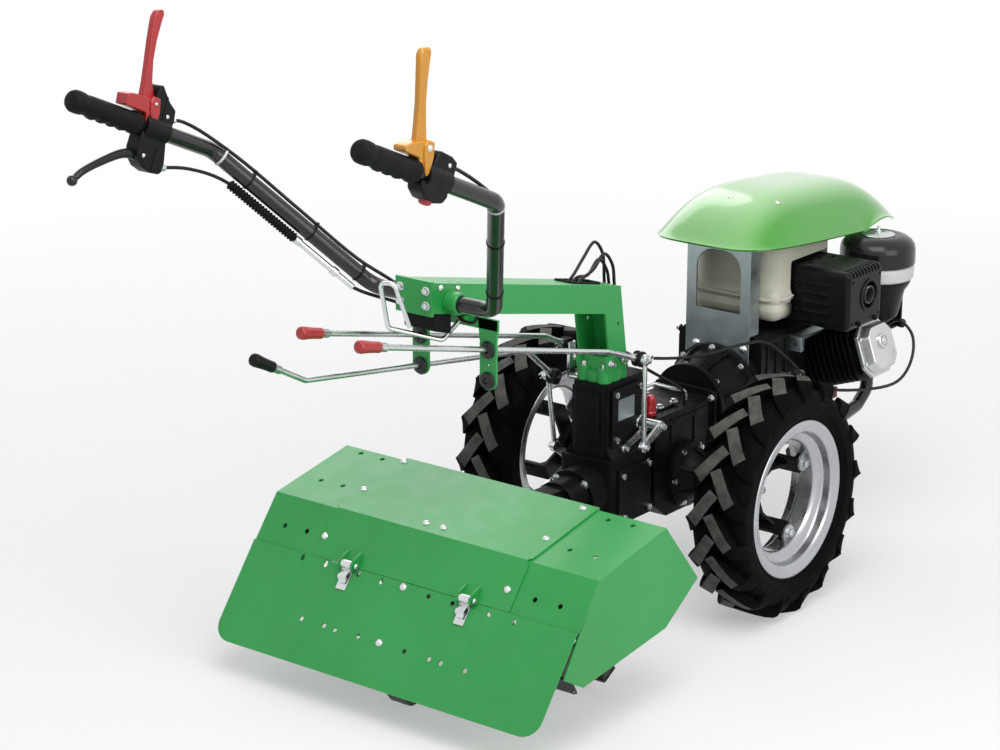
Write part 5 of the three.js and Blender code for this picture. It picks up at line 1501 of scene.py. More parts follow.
@dataclass
class Handlebar:
    """The bent handlebar with its grips, lever housings and levers."""

    end: tuple[float, float, float] = (-1186.0, 287.0, 1071.0)
    riser: tuple[float, float, float] = (-876.0, 292.0, 939.0)
    cross: tuple[float, float, float] = (-668.0, 128.0, 694.0)
    radius: float = 13.5
    bend: float = 42.0
    grips: tuple[float, float] = (149.0, 131.0)
    housings: tuple[float, float] = (160.0, 148.0)
    levers: tuple[float, float] = (163.0, 130.0)
    housing_length: float = 57.0

    def __post_init__(self) -> None:
        """Works out the handle's own directions."""
        self.start, self.top, self.low = mm(*self.end), mm(*self.riser), mm(*self.cross)
        self.axis = (self.top - self.start).normalized()
        self.across = Z.cross(self.axis).normalized()
        self.lift = self.axis.cross(self.across).normalized()

    def at(self, distance: float, out: float = 0.0, up: float = 0.0, side: Side = Side.LEFT) -> Vector:
        """A point on a handle by its distance from the grip's end, out to the side and up, in millimetres."""
        point = self.start + self.axis * distance * MM + self.across * out * MM + self.lift * up * MM
        return point if side is Side.LEFT else across(point)

    @staticmethod
    def of(pair: tuple[float, float], side: Side) -> float:
        """The left or right one of a pair of sizes."""
        return pair[0] if side is Side.LEFT else pair[1]

    def way(self, direction: Vector, side: Side) -> Vector:
        """A direction of the left handle, carried to a side."""
        return direction if side is Side.LEFT else across(direction)

    def tube(self) -> None:
        """The bar from one grip to the other."""
        half = [self.at(6), self.top, self.low]
        line = filleted(half + [across(p) for p in reversed(half)], self.bend, 10)
        bar = Bench.smooth(Bench.tube("handlebar_tube", line, self.radius, 7), 50)
        dress(bar, Finishes.POWDER_GLOSS, "black_steel", "handlebar")

    def grip(self, side: Side) -> None:
        """A rubber grip with a ringed knob, finger waves below and a flange."""
        long = self.of(self.grips, side)
        waves = int((long - 52) // 6)
        profile = [
            (0, -0.6), (11, 0), (15.5, 2.2), (17.8, 7), (18.2, 15), (17.6, 24), (15.6, 27), (15.2, 30), (16.2, 34)
        ]
        profile += [(16.6, 34 + 6 * k) for k in range(1, waves)] + [
            (16.8, long - 14), (18.6, long - 9), (18.8, long - 3), (18, long), (13.9, long), (13.9, 20), (0, 20)
        ]
        at, axis = self.at(0, side=side), self.way(self.axis, side)
        grip = Bench.turned(f"grip_rubber_{side.word}", profile, at, axis, 48)
        down = self.way(-self.lift, side)
        for vertex in grip.data.vertices:
            along = (vertex.co - at).dot(axis) / MM
            out = vertex.co - at - axis * along * MM
            if 38 < along < long - 16 and out.length > 0.0155:
                share = max(0.0, out.normalized().dot(down))
                vertex.co += down * share ** 2 * MM * (1.4 + 1.8 * math.cos((along - 38) / 23 * TURN + math.pi))
                ridge = 0.35 * math.cos(
                    math.atan2(out.normalized().dot(self.way(self.across, side)), out.normalized().dot(down)) * 24
                )
                vertex.co += out.normalized() * ridge * MM
        Bench.smooth(grip, 60)
        dress(grip, Finishes.RUBBER, "black_rubber", f"grip_{side.word}")

    def plate(
        self, name: str, outline: list[tuple[float, float]], side: Side, low: float, high: float, bevel: float,
        segments: int = 3
    ) -> bpy.types.Object:
        """A slab in the handle's upright plane.

        Args:
            name: Its name.
            outline: Distance along the handle and height over it of each corner.
            side: Which handle.
            low: Its inner face, across the handle.
            high: Its outer face.
            bevel: Rounding of its edges.
            segments: Steps in the rounding.

        Returns:
            The slab.
        """
        corners = [self.at(d, low, u, side) for d, u in outline]
        return Bench.slab(name, corners, self.way(self.across, side) * (high - low) * MM, bevel, segments)

    def housing(self, side: Side) -> None:
        """The moulded lever housing round the bar."""
        c, end = self.of(self.housings, side), self.of(self.housings, side) + self.housing_length
        lever = self.of(self.levers, side)
        axis, at = self.way(self.axis, side), self.at(0, side=side)
        profile = [
            (13.8, c), (20, c), (21.4, c + 2), (21.4, c + 26), (20.6, c + 27), (21.4, c + 28), (21.4, end - 3),
            (19, end), (13.8, end), (13.8, c)
        ]
        collar = Bench.turned("collar", profile, at, axis, 48, 0.5)
        mount = self.plate("mount", [(lever - 4, 8), (lever + 2, 33), (c + 16, 33), (c + 16, 4)], side, -11, 11, 1.6)
        parts = [collar, mount]
        if side is Side.LEFT:
            hood = [
                (c + 4, 8), (c + 8, 50), (c + 11, 66), (c + 17, 70), (c + 25, 62), (c + 40, 48), (end + 1, 38),
                (end + 3, 20), (end - 1, -8), (c + 44, -18), (c + 6, -18)
            ]
            under = [
                (c - 4, -8), (c + 52, -8), (c + 57, -26), (c + 62, -48), (c + 61, -62), (c + 56, -67), (c + 34, -69),
                (c + 14, -64), (c - 1, -52), (c - 6, -38)
            ]
            ribs = [self.plate("rib", [(c + 30, 16), (c + 30, 55), (c + 34, 52.5), (c + 34, 16)], side, -16, 16, 0.8),
                    self.plate("rib", [(c + 34, -30), (c + 34, -67), (c + 40, -67), (c + 40, -30)],
                        side, -15.4, 15.4, 0.8)]
            boss = Bench.turned(
                "boss", [(0, -15), (9, -15), (10, -13.4), (10, 13.4), (9, 15), (0, 15)], self.at(c + 10, 0, -46),
                self.across, 32, 0.6
            )
            parts += [
                self.plate("hood", hood, side, -15, 15, 3.2), self.plate("under", under, side, -14, 14, 3.6), boss,
                *ribs
            ]
        else:
            hood = [
                (c + 4, 8), (c + 9, 30), (c + 16, 40), (c + 44, 38), (end + 2, 32), (end + 2, 14), (end - 3, -12),
                (c + 2, -14)
            ]
            under = [
                (c - 10, -8), (c + 52, -8), (c + 58, -20), (c + 50, -32), (c + 30, -36), (c + 8, -34), (c - 8, -24)
            ]
            parts += [self.plate("hood", hood, side, -15, 15, 3.2), self.plate("under", under, side, -15, 15, 5.0)]
        dress(
            Bench.merged(f"lever_case_{side.word}", *parts), Finishes.BLACK_PLASTIC, "black_plastic",
            f"lever_housing_{side.word}"
        )
        out = self.way(self.across, side)
        spots = [(c + 42, 24)] + ([(c + 10, -46)] if side is Side.LEFT else [])
        screws = [facing(self.at(d, e * 14.8, u, side), out * e) for d, u in spots for e in (1, -1)]
        Fasteners.set(f"lever_case_screws_{side.word}", Fasteners.dome(3.6, 1.8), screws)

    def blade(self, side: Side) -> None:
        """The blade lever with its ear over the grip and its pointed tongue."""
        d, red = self.of(self.levers, side), side is Side.LEFT
        foot, height = self.at(d, 0, 35.8, side), 143
        lean, waist, head = (34, 6.0, 10.4) if red else (12, 8.4, 12.6)
        stations = [
            (0.0, 15, 12), (0.1, 13.5, 11), (0.24, waist + 2.6, waist + 1.4), (0.46, waist, waist),
            (0.68, waist + 1.2, waist + 1.2), (0.86, head - 1, head - 1), (0.94, head, head),
            (0.985, head - 3, head - 3), (1.0, head - 7, head - 7)
        ]
        rear = [(lean * v * v - back, v) for v, back, _ in stations]
        fore = [(lean * v * v + ahead, v) for v, _, ahead in reversed(stations)]
        corners = [foot + Vector((u, -6, v * height)) * MM for u, v in rear + fore]
        blade = Bench.slab("blade", corners, Y * 12 * MM, 4.0, 4)
        reach = 56 if red else 42
        ear = [
            (d - reach, 20), (d - reach - 2, 38 if red else 28), (d - reach + 10, 42 if red else 36), (d - 10, 44),
            (d + 6, 44), (d + 13, 26), (d + 8, 6), (d - 2, 4), (d - 8, 19)
        ]
        clamp = self.plate("clamp", ear, side, -12.5, 12.5, 2.4)
        tongue = self.plate(
            "tongue",
            [
                (d - 6, 38), (d - 2, 48), (d + 14, 48), (d + 20, 26), (d + 19, 2), (d + 14, -4), (d + 8, 4),
                (d - 2, 24)
            ],
            side, -15.5, 15.5, 2.4
        )
        finish, slot = (Finishes.RED_PLASTIC, "red_plastic") if red else (Finishes.ORANGE_PLASTIC, "orange_plastic")
        node = "engine_stop_lever" if red else "clutch_lever"
        dress(Bench.merged(f"{node}_blade", blade, clamp, tongue), finish, slot, node)
        out = self.way(self.across, side)
        pin = [facing(self.at(d + 6, e * 15.4, 37, side), out * e) for e in (1, -1)]
        Fasteners.set(f"{node}_pin", Fasteners.dome(3.0 if red else 5.4, 2.6), pin)

    def brake_lever(self) -> None:
        """The curved lever below the left grip, ending in a ball."""
        root = self.at(self.housings[0] + 2.9, 0, -50)
        points = [
            root + Vector((u * MM, 0, v * MM))
            for u, v in ((14, -6), (-4, 4), (-26, 8), (-72, 3), (-112, -6), (-133, -16))
        ]
        line = smoothed(points, 8)
        lever = Bench.tube("brake_lever_blade", line, 6.4, 5)
        for vertex in lever.data.vertices:
            nearest = min(range(len(line)), key=lambda k: (line[k] - vertex.co).length_squared)
            share = nearest / (len(line) - 1)
            offset = vertex.co - line[nearest]
            wide = 1.5 - 0.75 * share
            offset.x, offset.z = offset.x * wide, offset.z * wide
            vertex.co = line[nearest] + offset
        ball = Bench.turned(
            "ball",
            [(0, -8.6)] + [
                (8.6 * math.cos(a), 8.6 * math.sin(a)) for a in (math.radians(d) for d in range(-75, 90, 15))
            ] + [(0, 8.6)],
            points[-1], Y, 32
        )
        dress(
            Bench.merged("brake_lever_blade", Bench.smooth(lever, 60), Bench.smooth(ball, 60)), Finishes.BLACK_GLOSS,
            "black_plastic", "brake_lever"
        )

    def button(self) -> None:
        """The button under the right housing."""
        profile = [(0, 0), (10, 0), (10, 4), (8, 6.5), (4, 7.6), (0, 8)]
        button = Bench.smooth(
            Bench.turned(
                "stop_button", profile, self.at(self.housings[1] + 22, 2, -34, Side.RIGHT),
                self.way(-self.lift, Side.RIGHT), 32
            ),
            50
        )
        dress(button, Finishes.RED_PLASTIC, "red_plastic")

    def build(self) -> None:
        """Builds the handlebar."""
        self.tube()
        for side in Side:
            self.grip(side)
            self.housing(side)
            self.blade(side)
        self.brake_lever()
        self.button()


# ---------------------------------------------------------------- control rods


@dataclass
class Rod:
    """One control rod: where it runs, its grip and the eye at its front end."""

    name: str
    side: Side
    line: list[tuple[float, float]]
    grip: Finish
    grip_slot: str
    linkage: str
    foot: tuple[float, float]
    pivot: tuple[float, float]
    half: float
    y: float = 72.0
    radius: float = 5.0

    def point(self, x: float, z: float, out: float = 0.0) -> Vector:
        """A point in the rod's upright plane, or beside it."""
        return mm(x, self.side.value * (self.y + out), z)

    def build(self) -> None:
        """Builds the rod and its linkage."""
        corners = [self.point(x, z) for x, z in self.line]
        start, following = corners[0], corners[1]
        back = (start - following).normalized()
        stem = Bench.smooth(Bench.tube("stem", filleted([start, *corners[1:]], 16, 7), self.radius, 5), 60)
        end, before = corners[-1], corners[-2]
        eye = Bench.turned(
            "eye", [(5.2, -7.6), (11.4, -7.6), (12.2, -6.6), (12.2, 6.6), (11.4, 7.6), (5.2, 7.6), (5.2, -7.6)], end,
            Y, 32, 0.4
        )
        flat_from, flat_to = end + (before - end).normalized() * 34 * MM, end + (before - end).normalized() * 8 * MM
        side_way = (end - before).normalized().cross(Y)
        flat = Bench.slab(
            "flat",
            [
                flat_from + side_way * 4.4 * MM, flat_from - side_way * 4.4 * MM, flat_to - side_way * 8.6 * MM,
                flat_to + side_way * 8.6 * MM
            ],
            Y * 6 * MM, 1.4
        )
        flat.data.transform(Matrix.Translation(Y * -3 * MM))
        neck = Bench.turned(
            "ferrule", [(0, -22), (6.4, -22), (7.6, -18), (7.6, -6), (9.2, -2), (9.2, 0), (0, 0)], start, back, 32,
            0.4
        )
        dress(Bench.merged(f"{self.name}_bar", stem, eye, flat, neck), Finishes.ZINC, "zinc", self.name)
        profile = [
            (0, -2), (8.8, -2), (9.4, 0), (9.2, 6), (9.6, 22), (10.6, 36), (11, 42), (10.4, 47), (8, 49.4), (0, 49.8)
        ]
        grip = Bench.smooth(Bench.turned(f"{self.name}_grip", profile, start, back, 36), 40)
        dress(grip, self.grip, self.grip_slot)
        boot = Bench.smooth(
            Bench.turned(
                f"{self.name}_boot",
                [
                    (5.2, -10), (11, -10), (14.2, -7.8), (14.6, -4), (12.6, 0), (14.6, 4), (14.2, 7.8), (11, 10),
                    (5.2, 10), (5.2, -10)
                ],
                end, Y, 36
            ),
            40
        )
        dress(boot, Finishes.RUBBER, "black_rubber")
        self.link()
        self.clip(end)

    def link(self) -> None:
        """The upright rod, its arm and the shaft that it turns."""
        s = self.side.value
        if not self.linkage:
            return
        if self.linkage == "drive_crank":
            dress(Bench.refined("drive_crank", 1.2), Finishes.ZINC, "zinc")
            return
        out = 8 + GAP + 4.5
        foot, pivot = self.point(*self.foot, out), self.point(*self.pivot, out)
        top = self.point(self.line[-1][0], self.line[-1][1], out)
        rod = Bench.smooth(Bench.tube("rod", [top, top.lerp(foot, 0.5), foot], 4.6, 5), 60)
        collars = [
            Bench.turned("collar", [(0, -5), (9.6, -5), (10.4, -4), (10.4, 4), (9.6, 5), (0, 5)], p, Y, 32, 0.5)
            for p in (top, foot)
        ]
        run = (pivot - foot).normalized()
        lift = run.cross(Y)
        arm = Bench.slab(
            "arm",
            [
                foot + lift * 7 * MM, foot - lift * 7 * MM, pivot - lift * 10 * MM, pivot + run * 8 * MM,
                pivot + lift * 10 * MM
            ],
            Y * 6 * MM, 1.4
        )
        arm.data.transform(Matrix.Translation(Y * -3 * MM))
        inner = mm(self.pivot[0], s * (self.half + GAP), self.pivot[1])
        shaft = Bench.turned(
            "shaft",
            [
                (0, 0), (15, 0), (15, 4), (10, 6), (10, abs(pivot.y - inner.y) / MM + 4),
                (0, abs(pivot.y - inner.y) / MM + 4)
            ],
            inner, Y * s, 36, 0.6
        )
        dress(Bench.merged(f"{self.linkage}_rod", rod, *collars, arm, shaft), Finishes.ZINC, "zinc", self.linkage)
        spots = [facing(p + Y * s * 4.8 * MM, Y * s) for p in (top, foot, pivot)]
        Fasteners.set(f"{self.linkage}_nuts", Fasteners.hexagon(10, 6, 7.5), spots)

    def clip(self, end: Vector) -> None:
        """The wire clip through the pin at the rod's eye."""
        s = self.side.value
        base = end + Y * s * (20 if self.linkage != "drive_crank" else 12) * MM
        pin = Bench.smooth(Bench.tube("pin", [end - Y * s * 13 * MM, base], 4.2, 4), 60)
        wire = filleted(
            [
                base + Vector((-14, 0, -4)) * MM, base + Vector((9, 0, -4)) * MM, base + Vector((17, 0, 2)) * MM,
                base + Vector((9, 0, 9)) * MM, base + Vector((2, 0, 3)) * MM, base + Vector((-6, 0, 7)) * MM,
                base + Vector((-18, 0, 3)) * MM
            ],
            4, 5
        )
        dress(
            Bench.merged(f"{self.name}_clip", Bench.smooth(Bench.tube("wire", wire, 1.0, 3), 60), pin), Finishes.ZINC,
            "zinc"
        )


@dataclass
class RodGear:
    """The hanger with its bushes, the three rods and the release loop."""

    x: float = -611.0
    upper: float = 606.0
    lower: float = 553.0
    y: float = 72.0

    @staticmethod
    def through(
        start: tuple[float, float], z: float, bend: float, end: tuple[float, float]
    ) -> list[tuple[float, float]]:
        """A rod's line from its start through its bush to its bend and end."""
        slope = (z - start[1]) / (RodGear.x - start[0])
        return [start, (RodGear.x, z), (bend, z + (bend - RodGear.x) * slope), end]

    def rods(self) -> list[Rod]:
        """The three rods."""
        red, black = (Finishes.RED_PLASTIC, "red_plastic"), (Finishes.BLACK_PLASTIC, "black_plastic")
        drive = self.through((-868, 667), self.upper, -262, (-196, 492))
        speed = self.through((-894, 676), self.upper, -269, (-172, 486))
        tiller = [(-983, 638), *self.through((-905, 597), self.lower, -318, (-234, 441))]
        return [
            Rod("drive_rod", Side.LEFT, drive, *red, "drive_crank", (0, 0), (0, 0), 36),
            Rod("speed_rod", Side.RIGHT, speed, *red, "speed_linkage", (-172, 322), (-120, 348), 36),
            Rod("tiller_rod", Side.LEFT, tiller, *black, "tiller_linkage", (-212, 300), (-160, 262), 58),
        ]

    def hanger(self) -> None:
        """The plate under the beam with its two legs and rubber bushes."""
        parts = []
        column = Column()
        top = column.top(self.x + 2.5) - column.depth - GAP
        for side in Side:
            s = side.value
            line = [
                (s * self.y + 21, top - 1), (s * self.y - 21, top - 1), (s * self.y - 17, self.upper + 14),
                (s * self.y - 17, self.lower)
            ]
            line += [
                (s * self.y + 17 * math.cos(a), self.lower + 17 * math.sin(a))
                for a in (math.radians(d) for d in range(195, 346, 15))
            ]
            line += [(s * self.y + 17, self.lower), (s * self.y + 17, self.upper + 14)]
            leg = Bench.slab("leg", [mm(self.x - 2.5, y, z) for y, z in line], X * 5 * MM)
            drill = Bench.drill(3.0)
            holes = Bench.copied("drills", drill, [facing(mm(self.x, s * self.y, 579), X)])
            wide = Bench.drill(10.4, 12, 32)
            wides = Bench.copied(
                "wides", wide, [facing(mm(self.x, s * self.y, z), X) for z in (self.upper, self.lower)]
            )
            parts.append(Bench.round(Bench.cut(leg, holes, wides), 0.8))
        parts.append(block("web", mm(self.x - 2.5, -93, top - 20), mm(self.x + 2.5, 93, top), 0.9))
        parts += [
            block("gusset", mm(self.x - 14, s * 30 - 2, top - 16), mm(self.x, s * 30 + 2, top), 0.8) for s in (1, -1)
        ]
        dress(Bench.merged("hanger_plate", *parts), Finishes.GREEN, "green_paint", "rod_hanger")
        profile = [
            (5.4, -8), (11.6, -8), (14.4, -6.4), (15.2, -3.4), (10.6, -2.6), (10.6, 2.6), (15.2, 3.4), (14.4, 6.4),
            (11.6, 8), (5.4, 8), (5.4, -8)
        ]
        model = Bench.turned("bush", profile, Vector(), Z, 40, 0.4)
        bushes = Bench.copied(
            "hanger_bushes", model,
            [facing(mm(self.x, s * self.y, z), X) for s in (1, -1) for z in (self.upper, self.lower)]
        )
        dress(bushes, Finishes.BLACK_GLOSS, "black_rubber")

    def loop(self) -> None:
        """The bent wire that releases the handlebar."""
        points = [
            (-616, -20, 653), (-668, -20, 626), (-748, 30, 656), (-766, 30, 736), (-766, 0, 740), (-738, -8, 662)
        ]
        line = filleted([mm(*p) for p in points], 11, 8)
        wire = Bench.smooth(Bench.tube("release_wire", line, 4, 5), 60)
        dress(wire, Finishes.ZINC, "zinc", "release_loop")

    def build(self) -> None:
        """Builds the rods and what guides them."""
        self.hanger()
        for rod in self.rods():
            rod.build()
        self.loop()


# ---------------------------------------------------------------- engine


@dataclass
class Engine:
    """The engine with its cooling fins, exhaust guard, air filter, tank, bonnet and bumper."""

    crank_z: float = 320.0
    head_x: float = 427.0
    tilt: float = 19.2
    right: float = -92.0
    left: float = 98.0
    base: float = 214.0

    @property
    def leaning(self) -> Matrix:
        """Takes a body modelled along -Y at the origin to the leaning cylinder."""
        return Matrix.Translation(
            mm(self.head_x, 0, self.crank_z)
        ) @ Matrix.Rotation(math.radians(-self.tilt), 4, "X")

    def rounded(
        self, name: str, low: tuple[float, float, float], high: tuple[float, float, float], bevel: float,
        segments: int = 6
    ) -> bpy.types.Object:
        """A block between two corners in millimetres with well rounded edges."""
        return Bench.smooth(block(name, mm(*low), mm(*high), bevel, segments), 50)

    def crankcase(self) -> None:
        """The crankcase with its ribs, side covers, drain bolt and base."""
        case = Bench.refined("engine_block", 4.0, 3)
        ribs = [
            block("rib", mm(x, self.right - 3.5, 236), mm(x + 5, self.right + 6, 420), 1.6) for x in (226, 258, 290)
        ]
        ribs += [
            block("rib", mm(x, self.left - 6, 236), mm(x + 5, self.left + 3.5, 420), 1.6)
            for x in (226, 290, 354, 418)
        ]
        lug = Bench.slab(
            "lug",
            [mm(x, -120, z) for x, z in ((306, 424), (398, 424), (398, 418), (318, 418), (318, 394), (306, 394))],
            Y * 30 * MM, 1.6
        )
        slot = Bench.drill(4.5)
        Bench.cut(lug, Bench.copied("drills", slot, [facing(mm(312, -106, 408), X)]))
        dress(lug, Finishes.SHEET_ZINC, "zinc")
        dress(Bench.merged("crankcase", case, *ribs), Finishes.ENGINE, "engine_aluminium")
        face = [
            facing(mm(x, self.right - 0.4, z), -Y, x) for x, z in ((330, 396), (312, 342), (356, 338), (316, 250))
        ]
        back = [facing(mm(x, self.left + 0.4, z), Y, x) for x in (216, 280, 344, 408, 456) for z in (228, 426)]
        Fasteners.set("crankcase_bolts", Fasteners.hexagon(10, 6, 7.5), face + back)
        dress(Bench.refined("engine_base", 1.2), Finishes.POWDER, "black_steel")
        feet = [facing(mm(x, s * 82, self.base - 0.2), Z) for x in (232, 470) for s in (1, -1)]
        Fasteners.set("base_bolts", Fasteners.hexagon(13, 8, 10), feet)
        tab = Bench.slab(
            "red_tab", [mm(x, -74, z) for x, z in ((486, 240), (530, 240), (530, 262), (508, 268), (486, 262))],
            Y * 12 * MM, 2.0
        )
        dress(tab, Finishes.DARK_RED, "red_plastic")

    def cylinder(self) -> None:
        """The leaning barrel with its fins, and the silver valve cover on its head."""
        barrel = block("barrel", Vector((-44, -218, -44)) * MM, Vector((44, -60, 44)) * MM, 8, 4)
        outline = []
        for x, z in ring(1, 40):
            reach = 56 * 1.18 * 0.86 / (abs(x) ** 5 + abs(z) ** 5) ** 0.2
            outline.append(Vector((x * reach, -1.5, z * reach)) * MM)
        fin = Bench.smooth(Bench.slab("fin", outline, Y * 3 * MM, 0.8), 40)
        fins = Bench.copied("fins", fin, [Matrix.Translation(Y * -(104 + 12.4 * k) * MM) for k in range(9)])
        whole = Bench.merged("fin_stack", barrel, fins)
        whole.data.transform(self.leaning)
        dress(whole, Finishes.ENGINE, "engine_aluminium", "engine_cylinder")
        self.valve_cover()

    def valve_cover(self) -> None:
        """The octagonal cover with its raised rim and ringed boss."""

        def octagon(half: float, cut: float, at: float) -> Outline:
            """The cover's outline at a distance out along the cylinder."""
            near = half - cut
            pairs = [(half, near), (near, half), (-near, half), (-half, near)]
            pairs += [(-x, -z) for x, z in pairs]
            return [Vector((x * MM, -at * MM, z * MM)) for x, z in pairs]

        flange = Bench.slab("flange", octagon(54, 23, 218.3), -Y * 8.2 * MM, 1.6, 3)
        dome = Bench.slab("dome", octagon(48.5, 20, 226), -Y * 20 * MM)
        Bench.edit(dome, False)
        bpy.ops.object.mode_set(mode="OBJECT")
        for polygon in dome.data.polygons:
            polygon.select = polygon.normal.y < -0.9
        bpy.ops.object.mode_set(mode="EDIT")
        bpy.ops.transform.resize(value=(0.86, 1, 0.86))
        bpy.ops.mesh.inset(thickness=9 * MM)
        bpy.ops.transform.translate(value=(0, 1.6 * MM, 0))
        bpy.ops.object.mode_set(mode="OBJECT")
        Bench.settle(dome)
        Bench.round(dome, 3.4, 4, 20)
        boss = Bench.turned(
            "boss",
            [
                (0, -234), (15, -234), (15, -248), (13, -250), (10.5, -250), (10.5, -247.4), (8.5, -247.4),
                (8.5, -250), (5, -250), (4, -252.4), (0, -252.8)
            ],
            Vector(), Y, 40, 0.5
        )
        boss.data.transform(Matrix.Translation(Z * 10 * MM))
        cover = Bench.merged("valve_cover_shell", flange, dome, boss)
        cover.data.transform(self.leaning)
        dress(cover, Finishes.ALUMINIUM, "bare_aluminium", "valve_cover")
        out = self.leaning.to_3x3() @ -Y
        spots = [
            facing(self.leaning @ (Vector((x, -226.4, z)) * MM), out)
            for x, z in ((49.5, 25), (-49.5, 25), (-49.5, -25), (49.5, -25))
        ]
        Fasteners.set("valve_cover_bolts", Fasteners.hexagon(8, 4.4), spots)

    def exhaust(self) -> None:
        """The box guard round the silencer with its louvres, slots and outlet."""
        guard = self.rounded("guard", (298, -224, 452), (427, -36, 568), 11, 5)
        mouth = mm(375, -224, 513)
        slots, hoods = [], []
        for column, wide in ((-153, 29), (-79, 23)):
            for row in range(4):
                z = 539 - 18.5 * row
                slots.append(block("slot", mm(295, column - wide, z - 4.4), mm(304, column + wide, z + 1.4), 1.0))
                lip = [
                    mm(298.4, column - wide, z + 2.4), mm(293.6, column - wide + 2, z - 2.4),
                    mm(293.6, column + wide - 2, z - 2.4), mm(298.4, column + wide, z + 2.4)
                ]
                hoods.append(Bench.slab("lip", lip, Z * 1.8 * MM, 0.5))
        for k in range(9):
            x = 314 + 11.4 * k
            slots.append(block("slot", mm(x, -228, 556), mm(x + 5.4, -202, 572), 0.8))
        for x, z in ((314, 466), (314, 548), (414, 548), (330, 466), (414, 470)):
            slots.append(Bench.turned("hole", [(0, -9), (3.2, -9), (3.2, 9), (0, 9)], mm(x, -224, z), Y, 18))
        for x, y in ((330, -120), (372, -112), (396, -128)):
            slots.append(Bench.turned("hole", [(0, -9), (5.4, -9), (5.4, 9), (0, 9)], mm(x, y, 568), Z, 20))
        slots.append(Bench.turned("recess", [(0, -4), (25, -4), (25, 12), (0, 12)], mouth, Y, 48))
        Bench.cut(guard, Bench.merged("slots", *slots))
        shell = Bench.round(guard, 0.7, 2, 40)
        outlet = Bench.turned(
            "outlet", [(25, -2), (31, -2), (32, 1.4), (30.5, 2.6), (26.5, 2.6), (25, 0), (25, -2)], mouth, -Y, 48, 0.5
        )
        pipe = Bench.turned(
            "tail_pipe", [(14.4, -11.4), (18, -11.4), (18, 1.6), (16.2, 2.2), (14.4, 1.6), (14.4, -11.4)], mouth, -Y,
            48, 0.4
        )
        dress(Bench.smooth(pipe, 40), Finishes.STEEL, "black_steel")
        port = Bench.turned("port", [(0, 56), (20, 56), (20, 96), (0, 96)], Vector((-30, -165, 0)) * MM, Z, 40, 1.0)
        port.data.transform(self.leaning)
        dress(Bench.merged("exhaust_guard", shell, *hoods, outlet, port), Finishes.POWDER, "black_steel", "muffler")
        bolts = [facing(mm(297.8, -112, z), -X) for z in (530, 484)] + [
            facing(mm(x, -224.2, z), -Y) for x, z in ((400, 462), (340, 462))
        ]
        Fasteners.set(
            "exhaust_bolts", Fasteners.hexagon(8, 4, 6), bolts, Body.CHASSIS, Finishes.POWDER, "black_steel"
        )

    def filter(self) -> None:
        """The air filter's cap, disc, wing nut, pale band and bowl, and the carburettor below."""
        x, y = 525, -154
        at = mm(x, y, 0)
        cap = Bench.turned(
            "filter_cap_shell",
            [
                (0, 536.3), (73.6, 536.3), (74.2, 539), (73.8, 564), (71.6, 574), (66, 582), (57, 588), (47, 591),
                (38, 591.6), (35, 590), (0, 590)
            ],
            at, Z, 80, 0.8
        )
        dress(Bench.smooth(cap, 45), Finishes.BLACK_GLOSS, "black_plastic", "air_filter_cap")
        disc = Bench.turned(
            "disc", [(0, 590), (32, 590), (32.6, 592), (30, 593.4), (18, 594), (8, 595.4), (0, 595.8)], at, Z, 56, 0.4
        )
        stud = Bench.turned(
            "stud", [(0, 595), (5.4, 595), (5.4, 599), (2.8, 600), (2.8, 607.4), (0, 608)], at, Z, 24, 0.3
        )
        wing = Bench.slab(
            "wing",
            [
                at + Vector((u, -1.2, v)) * MM
                for u, v in ((3, 597), (9, 599), (13, 605), (10.5, 607), (6, 603), (2, 602))
            ],
            Y * 2.4 * MM, 0.6
        )
        wings = Bench.copied("wings", wing, around(at, "Z", 2, 0.6))
        dress(Bench.merged("filter_disc", disc, stud, wings), Finishes.ZINC, "zinc")
        band = Bench.smooth(
            Bench.turned(
                "filter_band", [(0, 507), (69, 507), (72, 510), (72.6, 528), (71, 534), (68, 536.2), (0, 536.2)], at,
                Z, 80
            ),
            40
        )
        dress(band, Finishes.WHITE_BAND, "bare_aluminium")
        bowl = Bench.turned(
            "bowl", [(0, 424), (38, 424), (43, 428), (47, 440), (56, 482), (66, 498), (68, 507), (0, 507)], at, Z, 80,
            1.0
        )
        ribs = [block("rib", mm(x + 40, y - 3 + d, 438), mm(x + 66, y + 3 + d, 500), 1.2) for d in (-16, 16)]
        bracket = block("bracket", mm(x + 58, y - 26, 396), mm(x + 64, y + 20, 514), 1.6)
        toe = block("toe", mm(x + 10, y - 18, 392), mm(x + 64, y + 14, 398), 1.4)
        knob = Bench.turned("knob", [(0, 0), (9, 0), (9, 10), (6, 13), (0, 13)], mm(x + 52, y - 26, 404), -Y, 24, 1.0)
        neck = Bench.turned("neck", [(0, 483.3), (18, 483.3), (18, 503), (0, 503)], mm(0, y, 398), X, 32)
        body = self.rounded("carburettor", (x - 34, y - 26, 378), (x + 22, y + 26, 426), 7, 4)
        dress(
            Bench.merged("filter_bowl", bowl, *ribs, bracket, toe, knob), Finishes.BLACK_PLASTIC, "black_plastic",
            "air_filter_body"
        )
        plate = block("plate", mm(x - 37, y - 30, 384), mm(x - 33, y + 30, 424), 1.2)
        float_bowl = Bench.turned(
            "float", [(0, 352), (14, 352), (17, 355), (17, 374), (0, 374)], mm(x - 6, y, 0), Z, 40, 0.8
        )
        dress(Bench.merged("carburettor_body", body, neck, plate), Finishes.ENGINE, "engine_aluminium")
        dress(float_bowl, Finishes.ALUMINIUM, "bare_aluminium")
        screws = [facing(mm(x - 6 + dx, y - 26.2, z), -Y) for dx, z in ((-20, 412), (18, 412), (-2, 386))]
        Fasteners.set("carburettor_screws", Fasteners.dome(4.2, 2.6), screws)
